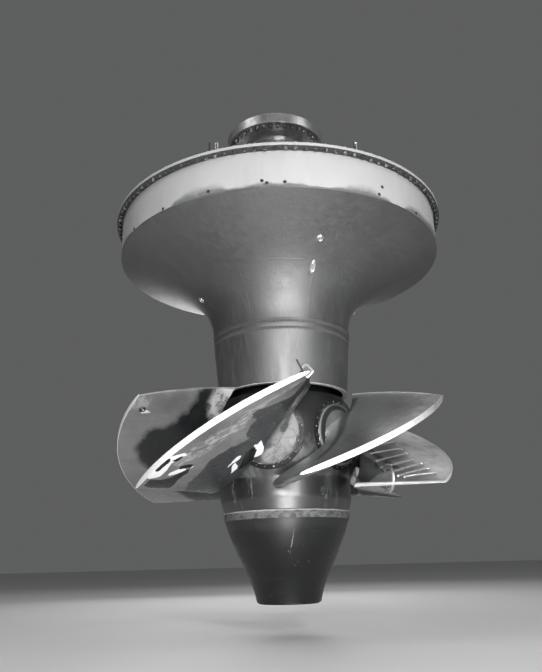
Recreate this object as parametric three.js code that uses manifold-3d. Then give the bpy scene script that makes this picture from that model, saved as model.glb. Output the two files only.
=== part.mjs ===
// A Kaplan turbine runner with its shaft and inner head cover, ready to be lowered into its pit.
// Millimetres, +Z up. The origin is on the turbine axis, in the plane of the face under the
// head cover's rim flange, where it is bolted down.
import * as THREE from 'three';
import { mergeVertices } from 'three/addons/utils/BufferGeometryUtils.js';
import Module from 'manifold-3d';

const wasm = await Module();
wasm.setup();

// Head cover
const rimRadius = 4240;
const rimInnerRadius = 3700;
const rimThickness = 80;
const rimStep = 20;
const rimStepRadius = 4110;
const bandRadius = 4090;
const bandBottom = -920;
const plateWall = 40;
const neckRadius = 1718;
const neckTop = -2900;
const neckJoint = -3020;
const neckBottom = -3150;
const neckRingRadius = 1738;
const neckRingBore = 1480;
const skirtFlangeRadius = 1722;
const skirtFlangeBore = 1620;
const skirtTopRadius = 1705;
const skirtBottomRadius = 1590;
const skirtBottom = -4440;
const skirtWall = 36;
const lipBore = 1480;
const lipThickness = 35;
const ribCount = 12;
const ribThickness = 24;
const ribTop = -120;
const tubeRadius = 1540;
const tubeWall = 30;
const tubeTop = -100;

// Guide bearing
const floorTop = -2940;
const floorThickness = 60;
const floorBore = 900;
const housingTop = -2250;
const housingRadius = 1080;
const housingFlangeRadius = 1250;
const housingFlange = 70;
const bearingGap = 0.95;
const bearingCoverThickness = 60;

// Jack screws on the rim
const jackRadius = 20;
const jackHeight = 300;
const jackNutRadius = 55;
const jackNutHeight = 60;
const jackCircle = 4120;
const jackAngle = 22.5;
const jackTurn = 2.3;

// Shaft
const shaftRadius = 750;
const couplingRadius = 1340;
const couplingTop = 3000;
const couplingBottom = 2720;
const couplingFillet = 130;
const spigotRadius = 420;
const spigotDepth = 40;
const hubFlangeRadius = 1180;
const hubFlangeTop = -3900;
const hubFlangeBottom = -4150;

// Hub, joint ring and cone
const bladeAxisHeight = -5570;
const hubSphere = 1800;
const hubShoulder = 960;
const hubWaist = 1540;
const hubFoot = 1462;
const ringTop = -7210;
const ringBottom = -7390;
const ringRadius = 1474;
const ringBore = 900;
const coneRadius = 1440;
const coneTipRadius = 730;
const coneBottom = -9150;
const conePlateThickness = 30;
const coneSteps = 7;

// Blades: run is the way along the chord, square to the blade's own axis, and rise is upwards
const bladeCount = 6;
const firstBladeAngle = -12;
const tipSphere = 3970;
const rootSphere = 1830;
const leading = { rootRun: 930, tipRun: 1311, rootRise: 1100, tipRise: 735, rootLift: 220, bow: 50 };
const trailing = { rootRun: -1610, tipRun: -2605, rootRise: -1160, tipRise: -1185, rootLift: 536, bow: 0 };
const rootSag = 300;
const tipSag = 0;
const rootThickness = 400;
const tipThickness = 125;
const edgeThickness = 26;
const leastReach = 900;
const spanSteps = 5;
const chordSteps = 10;

// Trunnions and their seal rings
const journalRadius = 420;
const journalStart = 1000;
const journalGap = 2.5;
const discSeat = 1590;
const discRadius = 690;
const discProud = 12;
const discSideGap = 9;
const sealRingRadius = 810;
const neckBlockRadius = 660;

// Seats and roundness
const gap = 0.3;
const ribEdgeGap = 0.9;
const roundSegments = 48;
const bearingSegments = 72;
const trunnionSegments = 32;

const radians = THREE.MathUtils.degToRad;
const lerp = THREE.MathUtils.lerp;

const paint = {
  cover: new THREE.MeshStandardMaterial({ color: 0x4a4f52, roughness: 0.55, metalness: 0.1 }),
  band: new THREE.MeshStandardMaterial({ color: 0xe2e2e4, roughness: 0.6, metalness: 0.0 }),
  inside: new THREE.MeshStandardMaterial({ color: 0x9a9d9c, roughness: 0.6, metalness: 0.1 }),
  steel: new THREE.MeshStandardMaterial({ color: 0xa8a8a6, roughness: 0.35, metalness: 0.9 }),
  hub: new THREE.MeshStandardMaterial({ color: 0x2c3335, roughness: 0.35, metalness: 0.2 }),
  blade: new THREE.MeshStandardMaterial({ color: 0x8d8c8c, roughness: 0.45, metalness: 0.7 }),
  ring: new THREE.MeshStandardMaterial({ color: 0xa29d97, roughness: 0.7, metalness: 0.5 }),
};

// A geometry's points are joined where they meet, flat triangles are dropped, and the faces
// are turned outwards.
function solid(geometry) {
  const bare = geometry.clone();
  bare.deleteAttribute('normal');
  bare.deleteAttribute('uv');
  const merged = mergeVertices(bare, 1e-3);
  const points = merged.getAttribute('position');
  const kept = [];
  let volume = 0;
  const corner = [new THREE.Vector3(), new THREE.Vector3(), new THREE.Vector3()];
  for (let i = 0; i < merged.index.count; i += 3) {
    const ids = [merged.index.getX(i), merged.index.getX(i + 1), merged.index.getX(i + 2)];
    if (ids[0] === ids[1] || ids[1] === ids[2] || ids[2] === ids[0]) {
      continue;
    }
    kept.push(...ids);
    corner.forEach((vector, k) => vector.fromBufferAttribute(points, ids[k]));
    volume += corner[0].dot(corner[1].clone().cross(corner[2]));
  }
  const triangles = new Uint32Array(volume < 0 ? kept.reverse() : kept);
  const vertices = new Float32Array(points.array);
  return new wasm.Manifold(new wasm.Mesh({ numProp: 3, vertProperties: vertices, triVerts: triangles }));
}

function namedMesh(name, body, material) {
  const result = body.getMesh();
  const geometry = new THREE.BufferGeometry();
  geometry.setAttribute('position', new THREE.BufferAttribute(new Float32Array(result.vertProperties), 3));
  geometry.setIndex(new THREE.BufferAttribute(new Uint32Array(result.triVerts), 1));
  geometry.computeVertexNormals();
  const mesh = new THREE.Mesh(geometry, material);
  mesh.name = name;
  return mesh;
}

// A closed outline of [radius, height] pairs, turned about the Z axis.
function turned(outline, segments = roundSegments) {
  const points = outline.map(([radius, height]) => new THREE.Vector2(radius, height));
  points.push(points[0].clone());
  return solid(new THREE.LatheGeometry(points, segments).rotateX(Math.PI / 2));
}

// The same outline, turned about the blade's own axis: heights run outwards, along -Y.
function turnedOutwards(outline, segments = trunnionSegments) {
  const points = outline.map(([radius, height]) => new THREE.Vector2(radius, height));
  points.push(points[0].clone());
  return solid(new THREE.LatheGeometry(points, segments).rotateZ(Math.PI));
}

function ringOutline(inner, outer, bottom, top) {
  return [[inner, bottom], [outer, bottom], [outer, top], [inner, top]];
}

function placed(mesh, angle, height = 0) {
  const group = new THREE.Group();
  group.rotation.z = radians(angle);
  group.position.z = height;
  group.add(mesh);
  return group;
}

// The bell's outer and inner skins are one cubic curve each, from the neck out to the band.
function bellCurve(start, nearNeck, nearBand, end) {
  return new THREE.CubicBezierCurve(
    new THREE.Vector2(...start),
    new THREE.Vector2(...nearNeck),
    new THREE.Vector2(...nearBand),
    new THREE.Vector2(...end),
  );
}

const bellTop = bandBottom + plateWall;
const bellOuter = bellCurve(
  [neckRadius, neckTop],
  [neckRadius + 4, neckTop + 1000],
  [neckRadius + 882, neckTop + 1400],
  [bandRadius, bandBottom],
);
const bellInner = bellCurve(
  [neckRadius - plateWall, neckTop],
  [neckRadius - plateWall + 4, neckTop + 1020],
  [neckRadius + 857, neckTop + 1438],
  [bandRadius - plateWall, bellTop],
);
const bellSteps = 6;

function pairs(curve, steps) {
  return curve.getPoints(steps).map((point) => [point.x, point.y]);
}

function makeHeadCover() {
  const cover = new THREE.Group();
  const rim = turned([
    [rimInnerRadius, -rimStep],
    [rimStepRadius, -rimStep],
    [rimStepRadius, 0],
    [rimRadius, 0],
    [rimRadius, rimThickness],
    [rimInnerRadius, rimThickness],
  ]);
  cover.add(namedMesh('cover_rim_flange', rim, paint.band));

  const bandInner = bandRadius - plateWall;
  const band = turned(ringOutline(bandInner, bandRadius, bellTop + gap, -rimStep - gap));
  cover.add(namedMesh('cover_outer_band', band, paint.band));

  const outer = pairs(bellOuter, bellSteps);
  const inner = pairs(bellInner, bellSteps).reverse();
  const bell = turned([...outer, [bandRadius, bellTop], ...inner]);
  cover.add(namedMesh('cover_bell', bell, paint.cover));

  // The bell's lower flange carries the tube and the bearing floor, and the skirt's flange hangs
  // from it.
  const neck = turned(ringOutline(neckRingBore, neckRingRadius, neckJoint, neckTop - gap));
  cover.add(namedMesh('cover_neck_ring', neck, paint.cover));
  const flange = turned(ringOutline(skirtFlangeBore, skirtFlangeRadius, neckBottom, neckJoint - gap));
  cover.add(namedMesh('cover_skirt_flange', flange, paint.cover));

  const skirtTop = neckBottom - gap;
  const skirt = turned([
    [skirtTopRadius, skirtTop],
    [skirtTopRadius - skirtWall, skirtTop],
    [skirtBottomRadius - skirtWall, skirtBottom + lipThickness],
    [lipBore, skirtBottom + lipThickness],
    [lipBore, skirtBottom],
    [skirtBottomRadius, skirtBottom],
  ]);
  cover.add(namedMesh('cover_skirt', skirt, paint.cover));

  const tube = turned(ringOutline(tubeRadius - tubeWall, tubeRadius, neckTop, tubeTop));
  cover.add(namedMesh('bearing_support_tube', tube, paint.inside));
  addRibs(cover);
  addBearing(cover);
  addJackScrews(cover);
  return cover;
}

// Each rib fills the space between the support tube, the bell and the band.
function addRibs(cover) {
  const outline = new THREE.Shape();
  outline.moveTo(tubeRadius + gap, ribTop);
  outline.lineTo(tubeRadius + gap, neckTop + gap);
  for (const [radius, height] of pairs(bellInner, bellSteps)) {
    outline.lineTo(radius - ribEdgeGap, height + gap);
  }
  outline.lineTo(bandRadius - plateWall - ribEdgeGap, ribTop);
  const settings = { depth: ribThickness, bevelEnabled: false };
  const plate = new THREE.ExtrudeGeometry(outline, settings);
  plate.translate(0, 0, -ribThickness / 2);
  plate.rotateX(Math.PI / 2);
  for (let i = 0; i < ribCount; i += 1) {
    const mesh = namedMesh(`cover_rib_${i + 1}`, solid(plate), paint.inside);
    cover.add(placed(mesh, (360 / ribCount) * (i + 0.5)));
  }
}

function addBearing(cover) {
  const floor = turned(ringOutline(floorBore, neckRingBore - gap, floorTop - floorThickness, floorTop));
  cover.add(namedMesh('bearing_floor', floor, paint.inside));

  const bore = shaftRadius + bearingGap;
  const housingBottom = floorTop + gap;
  const housing = turned([
    [bore, housingBottom],
    [housingFlangeRadius, housingBottom],
    [housingFlangeRadius, housingBottom + housingFlange],
    [housingRadius, housingBottom + housingFlange],
    [housingRadius, housingTop],
    [bore, housingTop],
  ], bearingSegments);
  cover.add(namedMesh('bearing_housing', housing, paint.inside));

  const coverBottom = housingTop + gap;
  const coverTop = coverBottom + bearingCoverThickness;
  const lid = turned(ringOutline(bore + 15, housingRadius + 60, coverBottom, coverTop));
  cover.add(namedMesh('bearing_cover', lid, paint.steel));
}

function addJackScrews(cover) {
  const bottom = rimThickness + gap;
  const outline = [
    [0, bottom],
    [jackNutRadius, bottom],
    [jackNutRadius, bottom + jackNutHeight],
    [jackRadius, bottom + jackNutHeight],
    [jackRadius, bottom + jackHeight],
    [0, bottom + jackHeight],
  ];
  const angles = [-jackAngle, jackAngle, 180 - jackAngle, 180 + jackAngle];
  angles.forEach((angle, i) => {
    const screw = namedMesh(`rim_jack_screw_${i + 1}`, turned(outline, 12), paint.steel);
    screw.position.y = -jackCircle;
    cover.add(placed(screw, angle + jackTurn));
  });
}

function makeShaft() {
  const shaft = turned([
    [0, hubFlangeBottom],
    [hubFlangeRadius, hubFlangeBottom],
    [hubFlangeRadius, hubFlangeTop],
    [shaftRadius, hubFlangeTop],
    [shaftRadius, couplingBottom - couplingFillet],
    [shaftRadius + couplingFillet / 4, couplingBottom - couplingFillet / 4],
    [shaftRadius + couplingFillet, couplingBottom],
    [couplingRadius, couplingBottom],
    [couplingRadius, couplingTop],
    [spigotRadius, couplingTop],
    [spigotRadius, couplingTop - spigotDepth],
    [0, couplingTop - spigotDepth],
  ], bearingSegments);
  return namedMesh('turbine_shaft', shaft, paint.steel);
}

// The hub is a ball round the blade axes, with a waist and a foot below it and a neck above.
function makeHub() {
  const ball = [];
  const ballSteps = 7;
  const shoulderAngle = Math.asin(hubShoulder / hubSphere);
  for (let i = 0; i <= ballSteps; i += 1) {
    const angle = lerp(-shoulderAngle, shoulderAngle, i / ballSteps);
    ball.push([hubSphere * Math.cos(angle), bladeAxisHeight + hubSphere * Math.sin(angle)]);
  }
  let hub = turned([
    [0, ringTop],
    [hubFoot, ringTop],
    [hubWaist, ringTop + 260],
    [hubWaist, bladeAxisHeight - hubShoulder - 40],
    ...ball,
    [hubFlangeRadius, bladeAxisHeight + hubShoulder],
    [hubFlangeRadius, hubFlangeBottom - gap],
    [0, hubFlangeBottom - gap],
  ]);
  const seat = turnedOutwards([
    [0, journalStart - 10],
    [journalRadius + journalGap, journalStart - 10],
    [journalRadius + journalGap, discSeat],
    [sealRingRadius + gap, discSeat],
    [sealRingRadius + gap, hubSphere + 50],
    [0, hubSphere + 50],
  ]);
  for (let i = 0; i < bladeCount; i += 1) {
    const turn = firstBladeAngle + (360 / bladeCount) * i;
    hub = hub.subtract(seat.rotate([0, 0, turn]).translate([0, 0, bladeAxisHeight]));
  }
  return namedMesh('runner_hub', hub, paint.hub);
}

function makeRunner() {
  const runner = new THREE.Group();
  runner.add(makeShaft(), makeHub());

  const ring = turned(ringOutline(ringBore, ringRadius, ringBottom, ringTop - gap));
  runner.add(namedMesh('hub_joint_ring', ring, paint.ring));

  // The cone's side is a cubic curve from the joint ring down to its flat end.
  const coneTop = ringBottom - gap;
  const side = bellCurve(
    [coneTipRadius, coneBottom],
    [coneTipRadius + 110, coneBottom + 560],
    [coneRadius - 230, coneBottom + 960],
    [coneRadius, coneTop],
  );
  const cone = turned([[0, coneBottom], ...pairs(side, coneSteps), [0, coneTop]]);
  runner.add(namedMesh('runner_cone', cone, paint.hub));

  const plateBottom = coneBottom - conePlateThickness;
  const plateRadius = coneTipRadius - 30;
  const plate = turned([
    [0, plateBottom],
    [plateRadius - 15, plateBottom],
    [plateRadius, plateBottom + 15],
    [plateRadius, coneBottom - gap],
    [0, coneBottom - gap],
  ]);
  runner.add(namedMesh('cone_end_plate', plate, paint.hub));

  const sealInner = discRadius + discSideGap;
  const sealTop = Math.sqrt(hubSphere ** 2 - sealInner ** 2);
  const sealEdge = Math.sqrt(hubSphere ** 2 - sealRingRadius ** 2);
  const seal = turnedOutwards([
    [sealInner, discSeat + gap],
    [sealRingRadius, discSeat + gap],
    [sealRingRadius, sealEdge],
    [sealInner, sealTop],
  ]);
  for (let i = 0; i < bladeCount; i += 1) {
    const mesh = namedMesh(`blade_seal_ring_${i + 1}`, seal, paint.steel);
    runner.add(placed(mesh, firstBladeAngle + (360 / bladeCount) * i, bladeAxisHeight));
  }
  return runner;
}

// A point of the blade. span runs from 0 at the root to 1 at the tip, chord from -1 at the
// trailing edge to 1 at the leading edge, and side is 1 on the upper face, -1 on the lower.
// The run and the rise change evenly along the chord, less a sag, and half the thickness is
// set off square to that line. The radius is measured from the centre of the hub's ball, and
// the point is at least the least reach from there along the blade's own axis.
function bladePoint(span, chord, side, radius, trim) {
  const along = (chord + 1) / 2;
  const edgeRise = (edge) => lerp(edge.rootRise, edge.tipRise, span) + 4 * edge.bow * span * (1 - span);
  const back = lerp(trailing.rootRun, trailing.tipRun, span);
  const front = lerp(leading.rootRun, leading.tipRun, span);
  const low = edgeRise(trailing);
  const high = edgeRise(leading);
  const sag = lerp(rootSag, tipSag, span);
  const run = lerp(back, front, along);
  const rise = lerp(low, high, along) - sag * (1 - chord * chord);
  const fullness = Math.sqrt(1 - Math.abs(chord) ** lerp(3, 6, span));
  const thick = lerp(rootThickness, tipThickness, span ** 0.8) - edgeThickness;
  const half = (thick * fullness + edgeThickness) / 2 - trim;
  const slope = (high - low) / 2 + 2 * sag * chord;
  const length = Math.hypot((front - back) / 2, slope);
  const x = run - (side * half * slope) / length;
  const z = rise + (side * half * (front - back)) / 2 / length;
  return [x, -Math.sqrt(Math.max(radius ** 2 - x ** 2 - z ** 2, leastReach ** 2)), z];
}

// A loft through rows of the blade's outline, closed at both ends by strips from face to face.
function bladeLoft(rows) {
  const positions = [];
  const index = [];
  const loop = 2 * (chordSteps + 1);
  for (const row of rows) {
    for (let j = 0; j < loop; j += 1) {
      const upper = j <= chordSteps;
      const step = upper ? j : loop - 1 - j;
      const chord = -Math.cos((Math.PI * step) / chordSteps);
      const radius = row.radius(chord);
      positions.push(...bladePoint(row.span, chord, upper ? 1 : -1, radius, row.trim));
    }
  }
  for (let i = 0; i + 1 < rows.length; i += 1) {
    for (let j = 0; j < loop; j += 1) {
      const a = i * loop + j;
      const b = i * loop + ((j + 1) % loop);
      index.push(a, b, b + loop, a, b + loop, a + loop);
    }
  }
  const last = (rows.length - 1) * loop;
  for (let j = 0; j < chordSteps; j += 1) {
    const lower = loop - 1 - j;
    index.push(j, lower, lower - 1, j, lower - 1, j + 1);
    index.push(last + j, last + lower - 1, last + lower, last + j, last + j + 1, last + lower - 1);
  }
  const geometry = new THREE.BufferGeometry();
  geometry.setAttribute('position', new THREE.BufferAttribute(new Float32Array(positions), 3));
  geometry.setIndex(index);
  return solid(geometry);
}

function makeBladeSolid() {
  const rootRadius = (chord) => {
    const lift = chord > 0 ? leading.rootLift : trailing.rootLift;
    return rootSphere + lift * chord * chord;
  };
  const rows = [];
  for (let i = 0; i <= spanSteps; i += 1) {
    const span = i / spanSteps;
    rows.push({ span, trim: 0, radius: (chord) => lerp(rootRadius(chord), tipSphere, span) });
  }
  const wing = bladeLoft(rows);

  // The thick root runs on into the trunnion disc inside the disc's own circle.
  const stub = bladeLoft([
    { span: 0, trim: 1, radius: () => discSeat + 60 },
    { span: 0, trim: 1, radius: () => rootSphere - 1 },
    { span: 0.03, trim: 1, radius: (chord) => rootRadius(chord) + 60 },
  ]);
  const core = turnedOutwards([
    [0, discSeat + 30],
    [neckBlockRadius, discSeat + 30],
    [neckBlockRadius, rootSphere + 600],
    [0, rootSphere + 600],
  ]);

  const dome = [];
  const domeRadius = hubSphere + discProud;
  const domeSteps = 2;
  const edgeAngle = Math.asin(discRadius / domeRadius);
  for (let i = 0; i <= domeSteps; i += 1) {
    const angle = lerp(edgeAngle, 0, i / domeSteps);
    dome.push([domeRadius * Math.sin(angle), domeRadius * Math.cos(angle)]);
  }
  const trunnion = turnedOutwards([
    [0, journalStart],
    [journalRadius, journalStart],
    [journalRadius, discSeat + gap],
    [discRadius, discSeat + gap],
    ...dome,
  ]);
  return wing.add(stub.intersect(core)).add(trunnion);
}

function makeBlades() {
  const blades = new THREE.Group();
  const blade = makeBladeSolid();
  for (let i = 0; i < bladeCount; i += 1) {
    const mesh = namedMesh(`blade_${i + 1}`, blade, paint.blade);
    blades.add(placed(mesh, firstBladeAngle + (360 / bladeCount) * i, bladeAxisHeight));
  }
  return blades;
}

const assembly = new THREE.Group();
assembly.add(makeHeadCover(), makeRunner(), makeBlades());
assembly.updateMatrixWorld(true);

export default assembly;
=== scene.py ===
# A Kaplan runner that hangs from its shaft and inner head cover: smooth skins, fastenings
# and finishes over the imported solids. Lengths are metres, z is 0 at the rim's seat face.
import math

import bmesh
import bpy
import numpy as np
from mathutils import Matrix, Vector


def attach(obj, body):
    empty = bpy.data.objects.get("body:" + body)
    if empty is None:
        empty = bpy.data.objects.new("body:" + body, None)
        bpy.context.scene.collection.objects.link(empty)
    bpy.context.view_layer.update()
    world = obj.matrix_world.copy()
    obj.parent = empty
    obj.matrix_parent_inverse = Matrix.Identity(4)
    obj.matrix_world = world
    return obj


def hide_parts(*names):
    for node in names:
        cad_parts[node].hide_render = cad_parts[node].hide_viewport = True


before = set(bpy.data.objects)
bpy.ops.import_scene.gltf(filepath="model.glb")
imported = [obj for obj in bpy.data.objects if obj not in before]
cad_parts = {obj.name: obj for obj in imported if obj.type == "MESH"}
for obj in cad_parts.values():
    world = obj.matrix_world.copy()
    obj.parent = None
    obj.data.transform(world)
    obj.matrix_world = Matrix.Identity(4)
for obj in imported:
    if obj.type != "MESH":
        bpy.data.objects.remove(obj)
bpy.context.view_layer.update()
chance = np.random.default_rng(41)
print("frame loaded with", len(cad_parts), "nodes")


class Wire:
    # A shader socket: an expression on wires adds the Math nodes that work it out.
    def __init__(self, finish, socket):
        self.finish = finish
        self.socket = socket

    def work(self, operation, *values):
        return self.finish.node("ShaderNodeMath", {"operation": operation}, dict(enumerate(values)))

    def __add__(self, other):
        return self.work("ADD", self, other)

    def __sub__(self, other):
        return self.work("SUBTRACT", self, other)

    def __mul__(self, other):
        return self.work("MULTIPLY", self, other)

    def __truediv__(self, other):
        return self.work("DIVIDE", self, other)

    def __rsub__(self, other):
        return self.work("SUBTRACT", other, self)

    def distance(self):
        return self.work("ABSOLUTE", self)

    def most(self, other):
        return self.work("MAXIMUM", self, other)

    def least(self, other):
        return self.work("MINIMUM", self, other)

    def step(self, start, end, low=0.0, high=1.0):
        # Runs smoothly from low at start to high at end.
        sockets = {"Value": self, "From Min": start, "From Max": end, "To Min": low, "To Max": high}
        return self.finish.node("ShaderNodeMapRange", {"interpolation_type": "SMOOTHSTEP"}, sockets)


class Finish:
    # A material whose constants sit on the shader's own sockets, and whose nodes come from node().
    def __init__(self, name, **constants):
        self.material = bpy.data.materials.new(name)
        self.material.use_nodes = True
        self.tree = self.material.node_tree
        self.shader = self.tree.nodes["Principled BSDF"]
        for socket, value in constants.items():
            self.shader.inputs[socket.replace("_", " ")].default_value = value

    def fill(self, socket, value):
        if isinstance(value, Wire):
            self.tree.links.new(value.socket, socket)
        elif socket.type == "RGBA":
            socket.default_value = [*value, 1.0]
        else:
            socket.default_value = value

    def node(self, kind, settings=None, sockets=None, output=0):
        made = self.tree.nodes.new(kind)
        for key, value in (settings or {}).items():
            setattr(made, key, value)
        for key, value in (sockets or {}).items():
            self.fill(made.inputs[key], value)
        return Wire(self, made.outputs[output])

    def place(self, squeeze=(1, 1, 1), attribute=None):
        # Object coordinates, or an attribute of the piece, squeezed.
        if attribute:
            spot = self.node("ShaderNodeAttribute", {"attribute_name": attribute}, output=1)
        else:
            spot = self.node("ShaderNodeTexCoord", output=3)
        return self.node("ShaderNodeMapping", None, {"Vector": spot, "Scale": squeeze})

    def value(self, attribute):
        # A number that each point of the piece carries.
        return self.node("ShaderNodeAttribute", {"attribute_name": attribute}, output=2)

    def part(self, spot, axis):
        # One of a place's three numbers.
        return self.node("ShaderNodeSeparateXYZ", None, {0: spot}, output="XYZ".index(axis))

    def noise(self, spot, scale, detail=4.0, roughness=0.55, distortion=0.0):
        sockets = {"Vector": spot, "Scale": scale, "Detail": detail, "Roughness": roughness,
                   "Distortion": distortion}
        return self.node("ShaderNodeTexNoise", None, sockets)

    def pits(self, spot, scale):
        return self.node("ShaderNodeTexVoronoi", None, {"Vector": spot, "Scale": scale})

    def blend(self, factor, first, second):
        # The first colour where the factor is 0 and the second where it is 1.
        return self.node("ShaderNodeMix", {"data_type": "RGBA"}, {0: factor, 6: first, 7: second}, 2)

    def paint(self, base, mask, level, cool=0.0):
        # The base with a grey over it where the mask is 1.
        return self.blend(mask, base, grey(level, cool))

    def finish(self, colour, roughness=None, metal=None, coat=None, height=None, depth=0.01, strength=1.0):
        # Fills the shader's sockets, with the height in metres times depth as a bump.
        values = {"Base Color": colour, "Roughness": roughness, "Metallic": metal, "Coat Weight": coat}
        for name, value in values.items():
            if value is not None:
                self.fill(self.shader.inputs[name], value)
        if height is not None:
            sockets = {"Height": height, "Strength": strength, "Distance": depth}
            self.fill(self.shader.inputs["Normal"], self.node("ShaderNodeBump", None, sockets))
        return self.material


def grey(level, cool=0.0):
    # A neutral tone in linear light, its red lowered and its blue raised by a share when cool.
    return (level * (1 - cool), level, level * (1 + cool * 0.6))


# White paint of the band, the rim and the blade tips, oversprayed with the cover's dark paint
# along the band's lower edge, with painted shade under the rim's flange and on the band's top edge.
bandTones = {"white": 0.42, "worn": 0.33, "spray": 0.12, "edge": -0.905, "reach": 0.25, "sprayTop": -0.6}


def makeBandPaint():
    made = Finish("bandPaint", Roughness=0.52)
    spot = made.place()
    height = made.part(spot, "Z")
    cloud = made.noise(made.place((1, 1, 0.6)), 0.9, 5, 0.6)
    runs = made.noise(made.place((1, 1, 0.12)), 5.0, 4, 0.6)
    fine = made.noise(spot, 38.0, 3, 0.6)
    tone = made.blend(cloud.step(0.36, 0.66), grey(bandTones["white"]), grey(bandTones["worn"] + 0.12))
    tone = made.paint(tone, runs.step(0.56, 0.74) * 0.35, bandTones["worn"])
    tone = made.paint(tone, fine.step(0.62, 0.74) * 0.25, 0.3)
    patchy = made.noise(made.place((1, 1, 1.6)), 0.62, 3, 0.5)
    reach = patchy.step(0.42, 0.68) * bandTones["reach"] + 0.012
    above = height - bandTones["edge"]
    spray = (1 - (above / reach).step(0.25, 1.3)) * (height - bandTones["sprayTop"]).step(0.05, -0.05)
    ragged = made.noise(spot, 9.0, 5, 0.65)
    tone = made.paint(tone, (spray * (ragged + 0.45)).least(0.92), bandTones["spray"], 0.04)
    # Painted shade: a near-black tone under the rim's flange and on the band's top edge, where the flange
    # overhangs.
    under = height + (ragged - 0.5) * 0.012
    tone = made.paint(tone, under.step(0.012, 0.004) * under.step(-0.036, -0.024) * 0.94, 0.03, 0.06)
    dents = made.noise(made.place((1, 1, 0.7)), 1.4, 2, 0.4)
    rough = fine.step(0.3, 0.7, 0.42, 0.62)
    return made.finish(tone, rough, height=dents + fine * 0.02, depth=0.05, strength=0.5)


# Dark cover paint with run marks, a faint cloud and brush streaks down the flare, with painted shade
# in the neck's grooves and a painted highlight along the skirt's lip.
coverTones = {"dark": 0.014, "light": 0.026, "run": 0.045, "rubbed": 0.06, "joint": (-2.99, -3.155),
              "lip": -4.424, "skirtTop": -3.12}


def makeCoverPaint():
    made = Finish("coverPaint", IOR=2.45)
    spot = made.place()
    cloud = made.noise(spot, 0.8, 5, 0.6)
    runs = made.noise(made.place((1, 1, 0.09)), 7.0, 5, 0.62)
    finer = made.noise(made.place((1, 1, 0.2)), 26.0, 4, 0.6)
    speck = made.noise(spot, 60.0, 3, 0.6)
    height = made.part(spot, "Z")
    tone = made.blend(cloud.step(0.35, 0.68), grey(coverTones["dark"], 0.05), grey(coverTones["light"], 0.03))
    tone = made.paint(tone, runs.step(0.52, 0.72) * 0.5, coverTones["run"], 0.03)
    skirt = (height - coverTones["skirtTop"]).step(0.05, -0.05)
    rubbed = made.noise(made.place((1, 1, 0.35)), 9.0, 6, 0.68)
    tone = made.paint(tone, skirt * rubbed.step(0.42, 0.7) * 0.5, coverTones["rubbed"], 0.02)
    tone = made.paint(tone, speck.step(0.68, 0.8) * 0.3, 0.16)
    rough = runs.step(0.3, 0.7, 0.49, 0.58) + finer.step(0.42, 0.6, -0.04, 0.04)
    rough = rough + rubbed.step(0.36, 0.64, -0.03, 0.03)
    upper, lower = coverTones["joint"]
    # Painted shade in the neck's two grooves, where the roughness is raised as well.
    grooveShade = (height - upper).distance().step(0.036, 0.022)
    grooveShade = grooveShade.most((height - lower).distance().step(0.045, 0.03))
    tone = made.paint(tone, grooveShade * 0.8, 0.012, 0.05)
    # A painted highlight: the skirt's lip is painted pale from its lower edge down.
    lip = height.step(coverTones["lip"] + 0.006, coverTones["lip"] - 0.004)
    tone = made.paint(tone, lip * 0.9, 0.6)
    height = runs + finer * 1.1 + cloud * 1.2
    return made.finish(tone, rough + grooveShade * 0.3, height=height, depth=0.010, strength=0.3)


# Black hub enamel with grime wiped in patches, and pale runs below the blade roots.
hubTones = {"black": 0.004, "wiped": 0.012, "run": 0.12, "film": 0.10, "oilLine": -5.95, "runTop": -6.3,
            "filmTop": -5.5, "filmFoot": -6.6}


def makeHubPaint():
    made = Finish("hubPaint", IOR=1.42, Coat_IOR=1.95, Coat_Roughness=0.34)
    spot = made.place()
    cloud = made.noise(spot, 1.3, 5, 0.62, 0.4)
    runs = made.noise(made.place((1, 1, 0.14)), 4.5, 5, 0.66)
    ragged = made.noise(spot, 12.0, 5, 0.65)
    height = made.part(spot, "Z")
    low = (height - hubTones["runTop"]).step(0.2, -0.2)
    tone = made.blend(cloud.step(0.45, 0.72), grey(hubTones["black"], 0.08), grey(hubTones["wiped"], 0.05))
    film = made.noise(spot, 3.4, 6, 0.7, 0.6).step(0.46, 0.64)
    film = film * (height - hubTones["filmTop"]).step(0.1, -0.4)
    film = film * (height - hubTones["filmFoot"]).step(-0.05, 0.15)
    tone = made.paint(tone, film * 0.6, hubTones["film"], 0.02)
    pale = (runs + ragged * 0.25).step(0.72, 0.8) * low
    tone = made.paint(tone, pale * 0.75, hubTones["run"], 0.02)
    rough = cloud.step(0.3, 0.7, 0.42, 0.56) + pale * 0.2
    oiled = (height + (cloud - 0.5) * 0.3 - hubTones["oilLine"]).step(0.12, -0.12) * (1 - pale * 0.7)
    return made.finish(tone, rough, coat=oiled, height=cloud + ragged * 0.08, depth=0.02, strength=0.4)


# Cone enamel: darker still, with fine scratches down it, a rubbed band at its top and one long
# scratch on its front.
coneTones = {"black": 0.004, "rubbed": 0.020, "scratch": 0.2, "line": 0.3, "rubbedFoot": -7.62}
coneLine = {"x": 0.215, "z": -7.36, "lean": 0.214, "end": -8.14}


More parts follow.
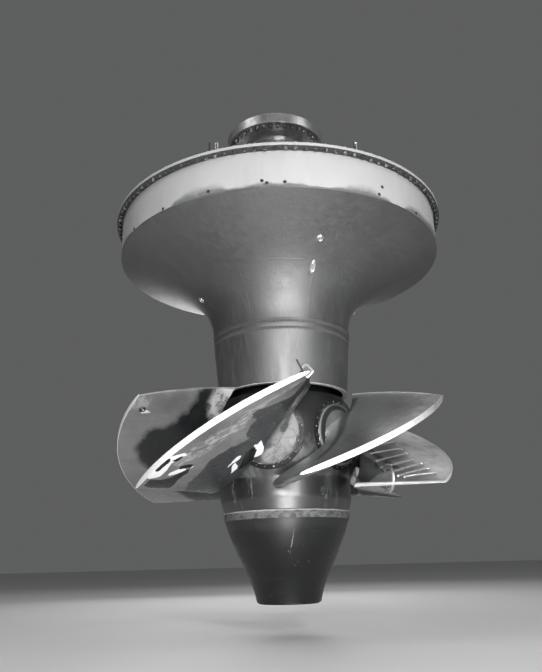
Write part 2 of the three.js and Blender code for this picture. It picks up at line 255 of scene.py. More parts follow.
def makeConePaint():
    made = Finish("conePaint", IOR=1.6)
    spot = made.place()
    height = made.part(spot, "Z")
    cloud = made.noise(made.place((1, 1, 2.2)), 1.2, 5, 0.6)
    rings = made.noise(made.place((0.25, 0.25, 5.0)), 3.0, 4, 0.6)
    thin = made.noise(made.place((1, 1, 0.05)), 16.0, 3, 0.55)
    ragged = made.noise(spot, 9.0, 5, 0.65)
    rubbed = (height - coneTones["rubbedFoot"] + ragged * 0.3).step(0.06, 0.3) * 0.7
    rubbed = rubbed + cloud.step(0.52, 0.75) * 0.5
    tone = made.blend(rubbed.least(1), grey(coneTones["black"], 0.1), grey(coneTones["rubbed"], 0.06))
    tone = made.paint(tone, rings.step(0.62, 0.72) * 0.3, 0.06, 0.05)
    scratch = thin.step(0.715, 0.735) * ragged.step(0.42, 0.56)
    tone = made.paint(tone, scratch * 0.6, coneTones["scratch"])
    beside = made.part(spot, "X") - (height - coneLine["z"]) * coneLine["lean"] - coneLine["x"]
    beside = beside + (ragged - 0.5) * 0.03
    drawn = beside.distance().step(0.014, 0.006) * height.step(coneLine["end"], coneLine["end"] + 0.05)
    drawn = drawn * made.part(spot, "Y").step(0.1, -0.1)
    tone = made.paint(tone, drawn * cloud.step(0.40, 0.50) * 0.7, coneTones["line"])
    rough = cloud.step(0.3, 0.7, 0.36, 0.5)
    return made.finish(tone, rough, height=cloud + ragged * 0.1 + thin * 0.15, depth=0.015, strength=0.35)


# The joint ring's bare casting skin, pale with rust and hammer marks, and paler at its top edge.
ringTones = {"dark": 0.06, "pale": 0.20, "grime": 0.12, "pit": 0.04, "edge": 0.42, "top": (-7.240, -7.222)}


def makeRingMetal():
    made = Finish("ringMetal")
    spot = made.place()
    lumps = made.noise(made.place((1, 1, 1.6)), 7.0, 6, 0.7)
    grime = made.noise(spot, 2.3, 5, 0.6)
    pits = made.pits(spot, 24.0)
    tone = made.blend(lumps.step(0.36, 0.62), grey(ringTones["dark"]), grey(ringTones["pale"]))
    tone = made.paint(tone, grime.step(0.5, 0.75) * 0.6, ringTones["grime"], 0.02)
    tone = made.paint(tone, pits.step(0.22, 0.1) * 0.6, ringTones["pit"])
    topEdge = (made.part(spot, "Z") + lumps * 0.02).step(*ringTones["top"])
    tone = made.paint(tone, topEdge * 0.8, ringTones["edge"])
    rough, metal = lumps.step(0.3, 0.7, 0.75, 0.5), lumps.step(0.4, 0.7, 0.1, 0.55)
    return made.finish(tone, rough, metal, height=lumps + pits * 0.3, depth=0.02, strength=0.7)


# Turned and ground steel of the shaft and the bearing cover, with tool lines and oil film.
def makeMachinedSteel(name, light, dark, coarse):
    made = Finish(name)
    spot = made.place()
    lines = made.noise(made.place((0.4, 0.4, 60.0)), coarse, 3, 0.6)
    cloud = made.noise(spot, 2.2, 5, 0.6)
    stain = made.noise(spot, 7.0, 6, 0.7)
    tone = made.blend(cloud.step(0.35, 0.7), grey(light), grey(dark))
    tone = made.paint(tone, stain.step(0.58, 0.72) * 0.5, dark * 0.4, 0.03)
    rough = lines.step(0.3, 0.7, 0.28, 0.42) + stain.step(0.5, 0.75) * 0.18
    metal = cloud.step(0.3, 0.8, 0.85, 0.6)
    return made.finish(tone, rough, metal, height=lines * 0.5 + stain * 0.4, depth=0.004, strength=0.4)


# Fasteners and handling gear: oiled black steel with bright worn patches.
def makeBoltSteel(name, dark, bright, share):
    made = Finish(name)
    spot = made.place()
    worn = made.noise(spot, 9.0, 4, 0.6)
    fine = made.noise(spot, 70.0, 3, 0.6)
    bare = (worn + fine * 0.3).step(share, share + 0.12)
    tone = made.blend(bare, grey(dark, 0.04), grey(bright))
    tone = made.paint(tone, fine.step(0.6, 0.75) * 0.4, dark * 0.5)
    return made.finish(tone, bare * -0.22 + 0.55, bare * 0.6 + 0.25, height=fine, depth=0.004, strength=0.4)


# Grey primer inside the cover, with weld soot, pale specks of dust, and handling marks.
def makeInnerPrimer():
    made = Finish("innerPrimer")
    spot = made.place()
    cloud = made.noise(spot, 1.1, 5, 0.6)
    scuff = made.noise(spot, 5.0, 6, 0.68, 0.3)
    fine = made.noise(spot, 45.0, 3, 0.6)
    tone = made.blend(cloud.step(0.35, 0.7), grey(0.27, 0.02), grey(0.36, 0.01))
    tone = made.paint(tone, scuff.step(0.56, 0.7) * 0.5, 0.16, 0.03)
    tone = made.paint(tone, fine.step(0.6, 0.76) * 0.3, 0.5)
    rough = scuff.step(0.3, 0.7, 0.6, 0.75)
    return made.finish(tone, rough, height=scuff + fine * 0.2, depth=0.006, strength=0.4)


# Weld metal: ripples along the bead under the same paint.
def makeWeldBead():
    made = Finish("weldBead", Specular_IOR_Level=0.8)
    spot = made.place()
    ripple = made.noise(spot, 55.0, 3, 0.6)
    cloud = made.noise(spot, 4.0, 4, 0.6)
    tone = made.blend(cloud.step(0.35, 0.7), grey(0.05, 0.05), grey(0.075, 0.03))
    tone = made.paint(tone, ripple.step(0.5, 0.7) * 0.4, 0.12, 0.02)
    return made.finish(tone, ripple.step(0.3, 0.7, 0.32, 0.5), height=ripple, depth=0.012, strength=0.6)


# Blade casting: ground steel, the dark inboard coating with its ragged edge, polished patches whose
# black is a painted reflection, pale primer flecks and the white painted tip. Some marks are painted
# light and shade: a highlight as a streak on one blade and along one trailing edge, light on one upper
# face, and shade in the root's crease, round two discs and on two blades' coating.
bladeTones = {"steel": 0.26, "dull": 0.17, "upper": 0.165, "coating": 0.045, "paintedReflection": 0.006,
              "white": 0.80, "streakAndSheen": 0.62, "bright": 0.22, "litEdge": 0.8, "tip": (3.954, 3.958),
              "discGapShade": 0.60}


def makeBladeSteel():
    made = Finish("bladeSteel", Specular_IOR_Level=0.6)

    def placed(squeeze=(1, 1, 1)):
        return made.place(squeeze, "bladePlace")

    spot = placed()
    lower = made.value("underside")
    out = made.part(placed(), "Y")
    wide = made.noise(spot, 1.1, 5, 0.6, 0.3)
    mottle = made.noise(spot, 4.2, 6, 0.66, 0.5)
    ragged = made.noise(spot, 7.5, 6, 0.7)
    fine = made.noise(spot, 48.0, 3, 0.6)
    ground = made.noise(placed((1, 9, 1)), 5.0, 4, 0.6)
    lowTone = made.blend(wide.step(0.36, 0.66), grey(bladeTones["steel"]), grey(bladeTones["dull"]))
    lowTone = made.paint(lowTone, mottle.step(0.52, 0.7) * 0.45, bladeTones["steel"] * 1.35)
    lowTone = made.paint(lowTone, made.value("feather") * 0.3, 0.55)
    # Pale brushed streaks; on the sixth blade this patch is a painted highlight.
    dabs = made.noise(placed((0.6, 1.5, 1)), 6.5, 4, 0.6, 0.6)
    streakAndSheen = (made.value("streakAndSheen") + (mottle - 0.5) * 0.3).step(-0.06, 0.08) * dabs.step(0.40, 0.62)
    lowTone = made.paint(lowTone, streakAndSheen * 0.75, bladeTones["streakAndSheen"])
    upper = bladeTones["upper"]
    highTone = made.blend(out.step(2.3, 3.5), grey(upper * 1.2, 0.02), grey(upper * 0.65))
    # Painted light: the third blade's upper face is paler outwards, standing in for lamp light on it.
    highTone = made.paint(highTone, made.value("paintedFaceLight"), 0.62)
    highTone = made.paint(highTone, wide.step(0.5, 0.75) * 0.6, 0.07, 0.05)
    highTone = made.paint(highTone, mottle.step(0.54, 0.72) * 0.4, 0.34)
    tone = made.blend(lower, highTone, lowTone)
    tone = made.paint(tone, ground.step(0.55, 0.72) * 0.22, 0.12)
    edge = (ragged - 0.5) * 0.16
    coated = ((made.value("coating") + edge) / (made.value("feather") * 0.09 + 0.012)).step(-1, 1)
    coating = bladeTones["coating"]
    coatTone = made.blend(wide.step(0.4, 0.7), grey(coating, 0.05), grey(coating * 0.55, 0.06))
    # Painted shade: the coating is darker on the fifth and sixth blades.
    coatTone = made.paint(coatTone, made.value("coatShade"), 0.012, 0.08)
    polished = made.value("polished").step(-0.08, 0.10) * (mottle.step(0.38, 0.56) * 0.8 + 0.2)
    bright = made.blend(made.value("feather"), grey(bladeTones["bright"]), grey(0.5))
    coatTone = made.blend(polished, coatTone, bright)
    tone = made.blend(coated, tone, coatTone)
    # Polished patches with a lowered roughness, whose near-black tone is a painted reflection of dark
    # surroundings.
    paintedReflection = (made.value("paintedReflection") + edge * 0.35).step(-0.006, 0.006)
    tone = made.paint(tone, paintedReflection, bladeTones["paintedReflection"], 0.06)
    rootDark = (made.value("rootDark") + edge * 0.6).step(-0.03, 0.03) * 0.85
    tone = made.paint(tone, rootDark, 0.03, 0.06)
    # Painted shade along the crease where the root's fillet meets the upper face.
    crease = made.value("crease") + (ragged - 0.5) * 0.04
    tone = made.paint(tone, crease.step(0.13, 0.03) * (1 - lower) * 0.75, 0.03, 0.05)
    # Painted shade in the gap round the discs of the second and third blades.
    dull = made.value("dullEdge")
    gap = (made.value("onDisc") - bladeTones["discGapShade"]).distance().step(0.065, 0.045) * dull
    tone = made.paint(tone, gap * 0.85, 0.012, 0.05)
    tone = made.paint(tone, made.value("leadEdge").step(0.03, 0.012) * dull * 0.75, 0.07, 0.05)
    # A painted highlight along the third blade's trailing edge.
    tone = made.paint(tone, made.value("litEdge").step(0.05, 0.03) * 0.9, bladeTones["litEdge"])
    fleck = (made.value("fleck") + edge * 0.4).step(-0.006, 0.006) * (1 - paintedReflection)
    tone = made.paint(tone, fleck, bladeTones["white"])
    tip = made.value("fromCentre").step(*bladeTones["tip"])
    chipped = (ragged + fine * 0.2).step(0.70, 0.74)
    # The tip's white greys along the run on the second blade.
    tipTone = made.paint(grey(bladeTones["white"]), made.value("tipGreying") * (ragged * 0.6 + 0.6), 0.27)
    tone = made.blend(tip * (1 - chipped * 0.35), tone, tipTone)
    rough = mottle.step(0.3, 0.7, 0.34, 0.5) - coated * 0.1 + coated * polished * 0.26
    rough = rough - paintedReflection * 0.16 + fleck * 0.1 + tip * 0.05
    metal = 0.55 - coated * 0.5
    metal = (metal.most(0.02) * (1 - fleck) * (1 - tip)).most(0)
    height = mottle * 0.6 + ground * 0.25 + coated * 0.35 + fine * 0.05 + wide * 1.6
    return made.finish(tone, rough, metal, height=height, depth=0.012, strength=0.45)


finishes = {
    "band": makeBandPaint(),
    "cover": makeCoverPaint(),
    "hub": makeHubPaint(),
    "cone": makeConePaint(),
    "ring": makeRingMetal(),
    "shaft": makeMachinedSteel("shaftSteel", 0.42, 0.22, 5.0),
    "bearing": makeMachinedSteel("bearingSteel", 0.5, 0.32, 8.0),
    "seal": makeMachinedSteel("sealSteel", 0.035, 0.018, 6.0),
    "bolt": makeBoltSteel("boltSteel", 0.05, 0.45, 0.66),
    "brightBolt": makeBoltSteel("brightBoltSteel", 0.22, 0.6, 0.5),
    "rod": makeBoltSteel("rodSteel", 0.03, 0.3, 0.72),
    "screw": makeBoltSteel("screwSteel", 0.06, 0.5, 0.64),
    "barSteel": makeBoltSteel("barSteel", 0.34, 0.62, 0.5),
    "shackle": makeBoltSteel("shackleSteel", 0.4, 0.85, 0.45),
    "primer": makeInnerPrimer(),
    "bead": makeWeldBead(),
    "blade": makeBladeSteel(),
}
print("finishes made:", len(finishes))


# Points nearer than this are welded to one, and a rounded corner is held flat this far past it.
weldReach = 2e-5
cornerHold = 1.7
upward = np.array([0, 0, 1.0])


def gridFaces(rows, columns, closeRows=False, closeColumns=False, start=0):
    # Four-sided faces between neighbours of a rows by columns grid, wrapped round where asked.
    down = np.arange(rows if closeRows else rows - 1)
    over = np.arange(columns if closeColumns else columns - 1)
    a, b = np.meshgrid(down, over, indexing="ij")
    below, beside = (a + 1) % rows, (b + 1) % columns
    corners = [a * columns + b, below * columns + b, below * columns + beside, a * columns + beside]
    return start + np.stack(corners, -1).reshape(-1, 4)


def addPiece(name, shape, finish, body, replaced=(), sharp=36):
    # A welded mesh of points and blocks of faces, its faces outwards, smooth up to the sharp
    # angle in degrees, that rides on a body.
    points, faces = shape
    mesh = bpy.data.meshes.new(name)
    listed = [face for block in faces for face in np.asarray(block).tolist()]
    mesh.from_pydata(np.asarray(points, float).tolist(), [], listed)
    work = bmesh.new()
    work.from_mesh(mesh)
    bmesh.ops.remove_doubles(work, verts=work.verts, dist=weldReach)
    bmesh.ops.recalc_face_normals(work, faces=work.faces)
    work.to_mesh(mesh)
    work.free()
    mesh.shade_smooth()
    mesh.set_sharp_from_angle(angle=math.radians(sharp))
    mesh.materials.append(finishes[finish])
    piece = bpy.data.objects.new(name, mesh)
    bpy.context.scene.collection.objects.link(piece)
    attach(piece, body)
    if replaced:
        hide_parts(*replaced)
    return piece


def fullTurn(count):
    # Equal angles once round.
    return np.linspace(0, 2 * np.pi, count, endpoint=False)


def around(radius, turn, height):
    # Points about the Z axis: the radius times the cosine and the sine of the turn, at a height.
    radius, turn, height = np.broadcast_arrays(radius, turn, height)
    return np.stack([radius * np.cos(turn), radius * np.sin(turn), height], -1)


def rounded(corners, closed=True):
    # Each (radius, height, rounding) corner turns into a short arc with a holding point on both
    # sides of it, so that the flats next to it stay flat when they are shaded.
    spots = []
    for i, corner in enumerate(corners):
        here = np.array(corner[:2], float)
        rounding = corner[2] if len(corner) > 2 else 0
        if not rounding or (not closed and i in (0, len(corners) - 1)):
            spots.append(here)
            continue
        ways = [np.array(corners[i - 1][:2]) - here, np.array(corners[(i + 1) % len(corners)][:2]) - here]
        reach = min(rounding, *(0.4 * np.linalg.norm(way) for way in ways))
        back, ahead = (way / np.linalg.norm(way) for way in ways)
        turn = np.linspace(0, 1, 5)[:, None]
        arc = here + (1 - turn) ** 2 * reach * back + turn ** 2 * reach * ahead
        spots += [here + back * reach * cornerHold, *arc, here + ahead * reach * cornerHold]
    return np.array(spots)


def turned(outline, segments):
    # An outline of (radius, height) pairs carried once round the Z axis.
    return around(outline[:, :1], fullTurn(segments), outline[:, 1:]).reshape(-1, 3)


def turnedPieces(body, table):
    # One turned skin a row. A row's outline stays open where it starts on the axis.
    for name, (segments, finish, node, slot, corners) in table.items():
        closed = corners[0][0] > 0
        outline = rounded(corners, closed)
        shape = turned(outline, segments), [gridFaces(len(outline), segments, closed, True)]
        addPiece(name, shape, finish, body, [node])


def curve(start, nearStart, nearEnd, end, count):
    # A cubic curve through its two ends, drawn towards the two points between them.
    t = np.linspace(0, 1, count)[:, None]
    a, b, c, d = (np.array(spot, float) for spot in (start, nearStart, nearEnd, end))
    return (1 - t) ** 3 * a + 3 * (1 - t) ** 2 * t * b + 3 * (1 - t) * t ** 2 * c + t ** 3 * d


def carried(path, facing, section, closed=False):
    # A flat section of (sideways, outwards) pairs carried along a path, square to it, with
    # outwards on the facing side. Open paths are closed at both ends by one flat face.
    path = np.asarray(path, float)
    if closed:
        along = np.roll(path, -1, 0) - np.roll(path, 1, 0)
    else:
        along = np.gradient(path, axis=0)
    along /= np.linalg.norm(along, axis=1, keepdims=True)
    side = np.cross(along, np.broadcast_to(facing, path.shape))
    side /= np.linalg.norm(side, axis=1, keepdims=True)
    out = np.cross(side, along)
    points = path[:, None] + side[:, None] * section[:, :1] + out[:, None] * section[:, 1:]
    count = len(section)
    faces = [gridFaces(len(path), count, closed, True)]
    if not closed:
        ends = np.arange(count)
        faces.append(np.stack([ends[::-1], ends + (len(path) - 1) * count]))
    return points.reshape(-1, 3), faces


def circle(radius, count=12, flat=1.0):
    # A round section, its outwards half flattened by a share.
    turn = fullTurn(count)
    return np.stack([radius * np.cos(turn), radius * flat * np.sin(turn)], -1)


def joined(blocks):
    # Several point and face sets as one.
    points, faces, count = [], [], 0
    for spots, sides in blocks:
        points.append(np.asarray(spots, float))
        faces += [np.asarray(block) + count for block in sides]
        count += len(spots)
    return np.concatenate(points), faces


def repeated(shape, origins, axes):
    # One small shape set down at every origin, turned by that place's three axes.
    spots, sides = shape
    many = np.einsum("mij,nj->mni", axes, spots) + origins[:, None]
    shift = np.arange(len(origins)) * len(spots)
    faces = [(block[None] + shift[:, None, None]).reshape(-1, block.shape[1]) for block in sides]
    return many.reshape(-1, 3), faces


def facing(directions, spin=None):
    # Axes whose third column is each direction, with a spin about it, by chance unless given.
    directions = np.asarray(directions, float)
    guide = np.where(np.abs(directions[:, 2:]) > 0.9, [[1.0, 0, 0]], [[0, 0, 1.0]])
    first = np.cross(guide, directions)
    first /= np.linalg.norm(first, axis=1, keepdims=True)
    second = np.cross(directions, first)
    if spin is None:
        spin = chance.uniform(0, np.pi, len(directions))
    c, s = np.cos(spin)[:, None], np.sin(spin)[:, None]
    return np.stack([first * c + second * s, second * c - first * s, directions], -1)


def upright(origins, way=1):
    # Axes that point up, or down where way is -1, one set for every origin.
    return facing(np.tile(upward * way, (len(origins), 1)))


def ringOf(count, radius, height, start=0.0):
    # Equal places round the axis, the first at start degrees from the X axis.
    return around(radius, math.radians(start) + np.arange(count) * 2 * np.pi / count, height)


def frontPlace(radius, height, azimuth):
    # A point round the axis, its azimuth in degrees to the right of the front.
    return around(radius, math.radians(azimuth - 90), height)


def spokes(turns):
    # At each turn the way outwards, the way on round the ring and the way up.
    out = around(1.0, turns, 0.0)
    up = np.tile(upward, (len(turns), 1))
    return out, np.cross(up, out), up


def hexShape(across, height, washer, washerHeight):
    # Rings of twelve points: a round washer, then a hexagon whose top edge is chamfered.
    turn = np.arange(12) * np.pi / 6
    hexReach = across / 2 / np.cos((turn + np.pi / 6) % (np.pi / 3) - np.pi / 6)
    rings = [(washer, -0.002), (washer, washerHeight), (hexReach, washerHeight),
             (hexReach, height * 0.86), (across * 0.46, height)]
    ends = np.arange(12)
    return (np.concatenate([around(reach, turn, level) for reach, level in rings]),
            [gridFaces(len(rings), 12, False, True), np.stack([ends[::-1], ends + 12 * (len(rings) - 1)])])


def roundShape(outline, count=12):
    # A small turned shape about its own Z, its outline open from axis to axis.
    outline = np.array(outline, float)
    return turned(outline, count), [gridFaces(len(outline), count, False, True)]


def addBolts(name, origins, sizes, finish, body, way=1):
    # Heads or nuts on washers, sizes being across the flats, height, washer and its height.
    addPiece(name, repeated(hexShape(*sizes), origins, upright(origins, way)), finish, body)


# Head cover: each skin's segments, finish, node, slot and (radius, height, rounding) corners.
# The bell's outer and inner skins are curves. The neck is two flanges, each with a tapered side.
cover = {"rimTop": 0.08, "band": 4.09, "bandRows": 14,
         "bellOuter": ((1.718, -2.9), (1.722, -1.9), (2.6, -1.5), (4.09, -0.92)),
         "bellInner": ((1.678, -2.9), (1.682, -1.88), (2.575, -1.462), (4.05, -0.88))}
bellOuter = curve(*cover["bellOuter"], 72)
turnedPieces("head_cover", {
    "coverRim": (240, "band", "cover_rim_flange", "white_paint", [
        (3.70, -0.02, 0.006), (4.11, -0.02, 0.004), (4.11, 0.0), (4.24, 0.0, 0.007),
        (4.24, cover["rimTop"], 0.007), (3.70, cover["rimTop"], 0.007)]),
    "coverBand": (240, "band", "cover_outer_band", "white_paint", [
        (4.05, -0.8797), (cover["band"], -0.8797),
        *((cover["band"], height) for height in np.linspace(-0.87, -0.03, cover["bandRows"])),
        (cover["band"], -0.0203), (4.05, -0.0203)]),
    "coverBell": (240, "cover", "cover_bell", "grey_paint", [
        *bellOuter, (4.09, -0.9), (4.09, -0.88), *curve(*cover["bellInner"], 60)[::-1]]),
    "coverNeck": (192, "cover", "cover_neck_ring", "grey_paint", [
        (1.48, -3.02), (1.712, -3.02, 0.004), (1.700, -2.985, 0.01), (1.728, -2.938, 0.006),
        (1.738, -2.93, 0.006), (1.738, -2.9003, 0.008), (1.48, -2.9003)]),
    "skirtFlange": (192, "cover", "cover_skirt_flange", "grey_paint", [
        (1.62, -3.15), (1.692, -3.15), (1.692, -3.12, 0.01), (1.714, -3.066, 0.006),
        (1.722, -3.056, 0.006), (1.722, -3.0203, 0.008), (1.62, -3.0203)]),
    "coverSkirt": (192, "cover", "cover_skirt", "grey_paint", [
        (1.705, -3.1503, 0.004), (1.59, -4.44, 0.012), (1.48, -4.44, 0.006), (1.48, -4.405, 0.006),
        (1.554, -4.405, 0.01), (1.669, -3.1503)]),
    "bearingTube": (144, "primer", "bearing_support_tube", "inner_primer", [
        (1.51, -2.9), (1.54, -2.9), (1.54, -0.1, 0.006), (1.51, -0.1, 0.006)]),
    "bearingFloor": (144, "primer", "bearing_floor", "inner_primer", [
        (0.9, -3.0, 0.006), (1.4797, -3.0), (1.4797, -2.94), (0.9, -2.94, 0.006)]),
    "bearingHousing": (144, "primer", "bearing_housing", "inner_primer", [
        (0.751, -2.9397), (1.25, -2.9397, 0.006), (1.25, -2.87, 0.01), (1.08, -2.87, 0.03),
        (1.08, -2.25, 0.008), (0.751, -2.25)]),
    "bearingLid": (144, "bearing", "bearing_cover", "machined_steel", [
        (0.766, -2.2497), (1.14, -2.2497, 0.005), (1.14, -2.1897, 0.008), (0.766, -2.1897, 0.008)]),
})
print("cover skins made")

ribs = {"count": 12, "thick": 0.024, "top": -0.12, "foot": -2.8995, "inner": 1.5405, "first": 15,
        "rows": 8, "columns": 36, "gap": (-0.001, 0.0015), "tube": 1.54, "weld": (-2.86, -0.14)}


def ribShape():
    # A flat plate between the tube and the bell's inner skin: two equal sides, joined at the rim.
    rows, columns = ribs["rows"], ribs["columns"]
    lower = curve(*cover["bellInner"], columns) + ribs["gap"]
    upper = np.stack([np.linspace(ribs["inner"], lower[-1][0], columns), np.full(columns, ribs["top"])], -1)
    lower[0] = (ribs["inner"], ribs["foot"])
    plate = np.linspace(lower, upper, rows).reshape(-1, 2)
    layers = [np.insert(plate, 1, side, axis=1) for side in (-ribs["thick"] / 2, ribs["thick"] / 2)]
    rim = np.concatenate([
        np.arange(columns), np.arange(1, rows) * columns + columns - 1,
        (rows - 1) * columns + np.arange(columns - 2, -1, -1), np.arange(rows - 2, 0, -1) * columns])
    count = rows * columns
    following = np.roll(rim, -1)
    edge = np.stack([rim, following, following + count, rim + count], -1)
    return np.concatenate(layers), [gridFaces(rows, columns), gridFaces(rows, columns, start=count), edge]


def ribWelds():
    # Fillet beads down both faces of a rib, where it meets the tube.
    blocks = []
    section = np.array([[0, 0], [0.014, 0], [0.009, 0.006], [0.005, 0.01], [0, 0.016]])
    for side in (-1, 1):
        path = np.stack([np.full(24, ribs["tube"]), np.full(24, side * ribs["thick"] / 2),
                         np.linspace(*ribs["weld"], 24)], -1)
        blocks.append(carried(path, (0, side, 0), section * [-side, 1]))
    return joined(blocks)


ribAxes = np.stack(spokes(np.radians(ribs["first"] + np.arange(ribs["count"]) * 360 / ribs["count"])), -1)
ribOrigins = np.zeros((ribs["count"], 3))
addPiece("coverRibs", repeated(ribShape(), ribOrigins, ribAxes), "primer", "head_cover",
         [f"cover_rib_{i + 1}" for i in range(ribs["count"])], sharp=30)
addPiece("ribWelds", repeated(ribWelds(), ribOrigins, ribAxes), "bead", "head_cover")

# Rings of bolts on the cover, each with its count, radius, height and first angle. The rim bolts
# stand over the flange, and their nuts show below it in the dark gap.
rimBolts = {"count": 120, "circle": 4.166, "head": (0.075, 0.05, 0.046, 0.007),
            "nut": (0.078, 0.055, 0.044, 0.006), "brightShare": 0.10}
coverBolts = {
    "housingFootBolts": ((36, 1.165, -2.87, 3.0), (0.055, 0.035, 0.034, 0.005), "bolt"),
    "bearingLidBolts": ((32, 1.03, -2.1897, 3.0), (0.046, 0.03, 0.029, 0.005), "brightBolt"),
    "bearingFloorBolts": ((48, 1.38, -2.94, 3.0), (0.05, 0.032, 0.031, 0.005), "bolt"),
    "rimBoltHeads": ((rimBolts["count"], rimBolts["circle"], cover["rimTop"]), rimBolts["head"], "bolt"),
}
for name, (ring, sizes, finish) in coverBolts.items():
    addBolts(name, ringOf(*ring), sizes, finish, "head_cover")
origins = ringOf(rimBolts["count"], rimBolts["circle"], 0.0)
bright = chance.uniform(size=rimBolts["count"]) < rimBolts["brightShare"]
addBolts("rimBoltNutsDark", origins[~bright], rimBolts["nut"], "bolt", "head_cover", -1)
addBolts("rimBoltNutsBright", origins[bright], rimBolts["nut"], "screw", "head_cover", -1)
print("ribs and cover bolts made")

# Jack screws: a nut on the rim and a threaded rod, with a bent handling bar beside each.
jack = {"radius": 0.020, "nut": (0.095, 0.06, 0.056, 0.008), "height": 0.3, "circle": 4.12,
        "azimuths": (-20.2, 24.8, 159.8, 204.8)}
liftingBars = {"width": 0.055, "radius": 0.011, "circle": 4.0,
               "places": ((-18.6, 0.31), (26.2, 0.33), (161.4, 0.31), (206.2, 0.33))}


def threadedRod(radius, bottom, top, pitch=0.012):
    # The radius rises and falls once each pitch, with a chamfer at the top.
    levels = np.arange(bottom, top - 0.008, pitch / 2)
    wave = np.where(np.arange(len(levels)) % 2 == 0, radius, radius * 0.9)
    return roundShape([(0, bottom), *zip(wave, levels), (radius * 0.8, top), (0, top)], 14)


def bentBar(width, height, radius):
    # Up, over in a half circle and down again, standing on the rim.
    turn = np.linspace(0, np.pi, 13)
    arch = np.stack([-np.cos(turn) * width / 2, 0 * turn, height + np.sin(turn) * width / 2], -1)
    left = np.stack([np.full(5, -width / 2), np.zeros(5), np.linspace(-0.002, height, 6)[:-1]], -1)
    right = left[::-1] * [-1, 1, 1]
    return carried(np.concatenate([left, arch, right]), (0, 1, 0), circle(radius, 10))


screw = joined([hexShape(*jack["nut"]), threadedRod(jack["radius"], jack["nut"][1] * 0.9, jack["height"])])
origins = np.array([frontPlace(jack["circle"], cover["rimTop"], azimuth) for azimuth in jack["azimuths"]])
addPiece("rimJackScrews", repeated(screw, origins, upright(origins)), "rod", "head_cover",
         [f"rim_jack_screw_{i + 1}" for i in range(4)])
blocks = []
for azimuth, height in liftingBars["places"]:
    origin = frontPlace(liftingBars["circle"], cover["rimTop"], azimuth)[None]
    out, ring, up = spokes(np.radians([azimuth - 90]))
    bar = bentBar(liftingBars["width"], height, liftingBars["radius"])
    blocks.append(repeated(bar, origin, np.stack([-ring, out, up], -1)))
addPiece("rimLiftingBars", joined(blocks), "brightBolt", "head_cover")

# Small plugs in the band's holes, by azimuth and height
bandPlug = [(0, 0.002), (0.02, 0.002), (0.026, 0.008), (0.034, 0.008), (0.042, -0.003), (0, -0.003)]
bandHoles = ((-38.0, -0.84), (-20.8, -0.80), (-4.2, -0.74), (-2.8, -0.80), (2.5, -0.79), (34.5, -0.567),
             (33.0, -0.78), (51.0, -0.80), (-55.0, -0.84), (75.0, -0.7), (100.0, -0.8), (128.0, -0.75),
             (160.0, -0.8), (197.0, -0.72), (230.0, -0.8), (262.0, -0.76))


def addPlugs(name, outline, count, radius, places, finish, body):
    # One small turned plug at each (azimuth, height), facing straight out from the axis.
    origins = np.array([frontPlace(radius, height, azimuth) for azimuth, height in places])
    ways = facing(origins * [1, 1, 0] / radius)
    addPiece(name, repeated(roundShape(outline, count), origins, ways), finish, body)


addPlugs("bandPlugs", bandPlug, 16, cover["band"], bandHoles, "rod", "head_cover")


def bellPlace(azimuth, height):
    # A point on the bell's outer skin and the way it faces.
    order = np.argsort(bellOuter[:, 1])
    radius = np.interp(height, bellOuter[order, 1], bellOuter[order, 0])
    slope = np.interp(height, bellOuter[order, 1], np.gradient(bellOuter[order, 0], bellOuter[order, 1]))
    spot = frontPlace(radius, height, azimuth)
    way = np.array([spot[0] / radius, spot[1] / radius, -slope])
    return spot, way / np.linalg.norm(way)


# Round and long ports on the bell, by azimuth, height and how far one shape is stretched
bellPort = [(0, 0.012), (0.045, 0.012), (0.055, 0.03), (0.075, 0.036), (0.09, 0.03), (0.11, 0.012),
            (0.118, -0.01), (0, -0.01)]
bellPorts = {
    "bellPlugs": ((19.0, -1.432, (0.8, 0.8, 1)), (-72.2, -1.992, (0.62, 0.8, 1)),
                  (199.0, -1.432, (0.8, 0.8, 1)), (108.0, -1.992, (0.62, 0.8, 1))),
    "bellHandHoles": ((20.2, -1.845, (0.72, 1.75, 1.1)), (200.2, -1.845, (0.72, 1.75, 1.1))),
}
portPoints, portFaces = roundShape(bellPort, 28)
for name, places in bellPorts.items():
    blocks = []
    for azimuth, height, stretch in places:
        spot, way = bellPlace(azimuth, height)
        blocks.append(repeated((portPoints * stretch, portFaces), spot[None], facing(way[None], np.zeros(1))))
    addPiece(name, joined(blocks), "brightBolt", "head_cover")

# Weld beads: one ring where the flare's plates change, and seams down the lower flare. A bead is
# low and round: its rise falls with the square of the way from its middle.
beads = {"ringHeight": -1.738, "foot": -2.86, "width": 0.018, "rise": 0.0018, "root": -0.004, "gap": 0.01,
         "seams": (-25, 22.5, 45, 90, 135, 180, 225, 270)}
across = np.linspace(-1, 1, 7)
beadSection = np.stack([across * beads["width"], (1 - across ** 2) * beads["rise"]], -1)
beadSection = np.concatenate([beadSection, [[0, beads["root"]]]])
spot, way = bellPlace(0, beads["ringHeight"])
path = around(np.hypot(spot[0], spot[1]), fullTurn(240), spot[2])
blocks = [carried(path, around(np.hypot(way[0], way[1]), fullTurn(240), way[2]), beadSection, True)]
for azimuth in beads["seams"]:
    levels = np.linspace(beads["foot"], beads["ringHeight"] - beads["gap"], 40)
    spots, ways = zip(*(bellPlace(azimuth, height) for height in levels))
    blocks.append(carried(spots, ways, beadSection))
addPiece("bellWelds", joined(blocks), "cover", "head_cover")
print("rim and bell fittings made")

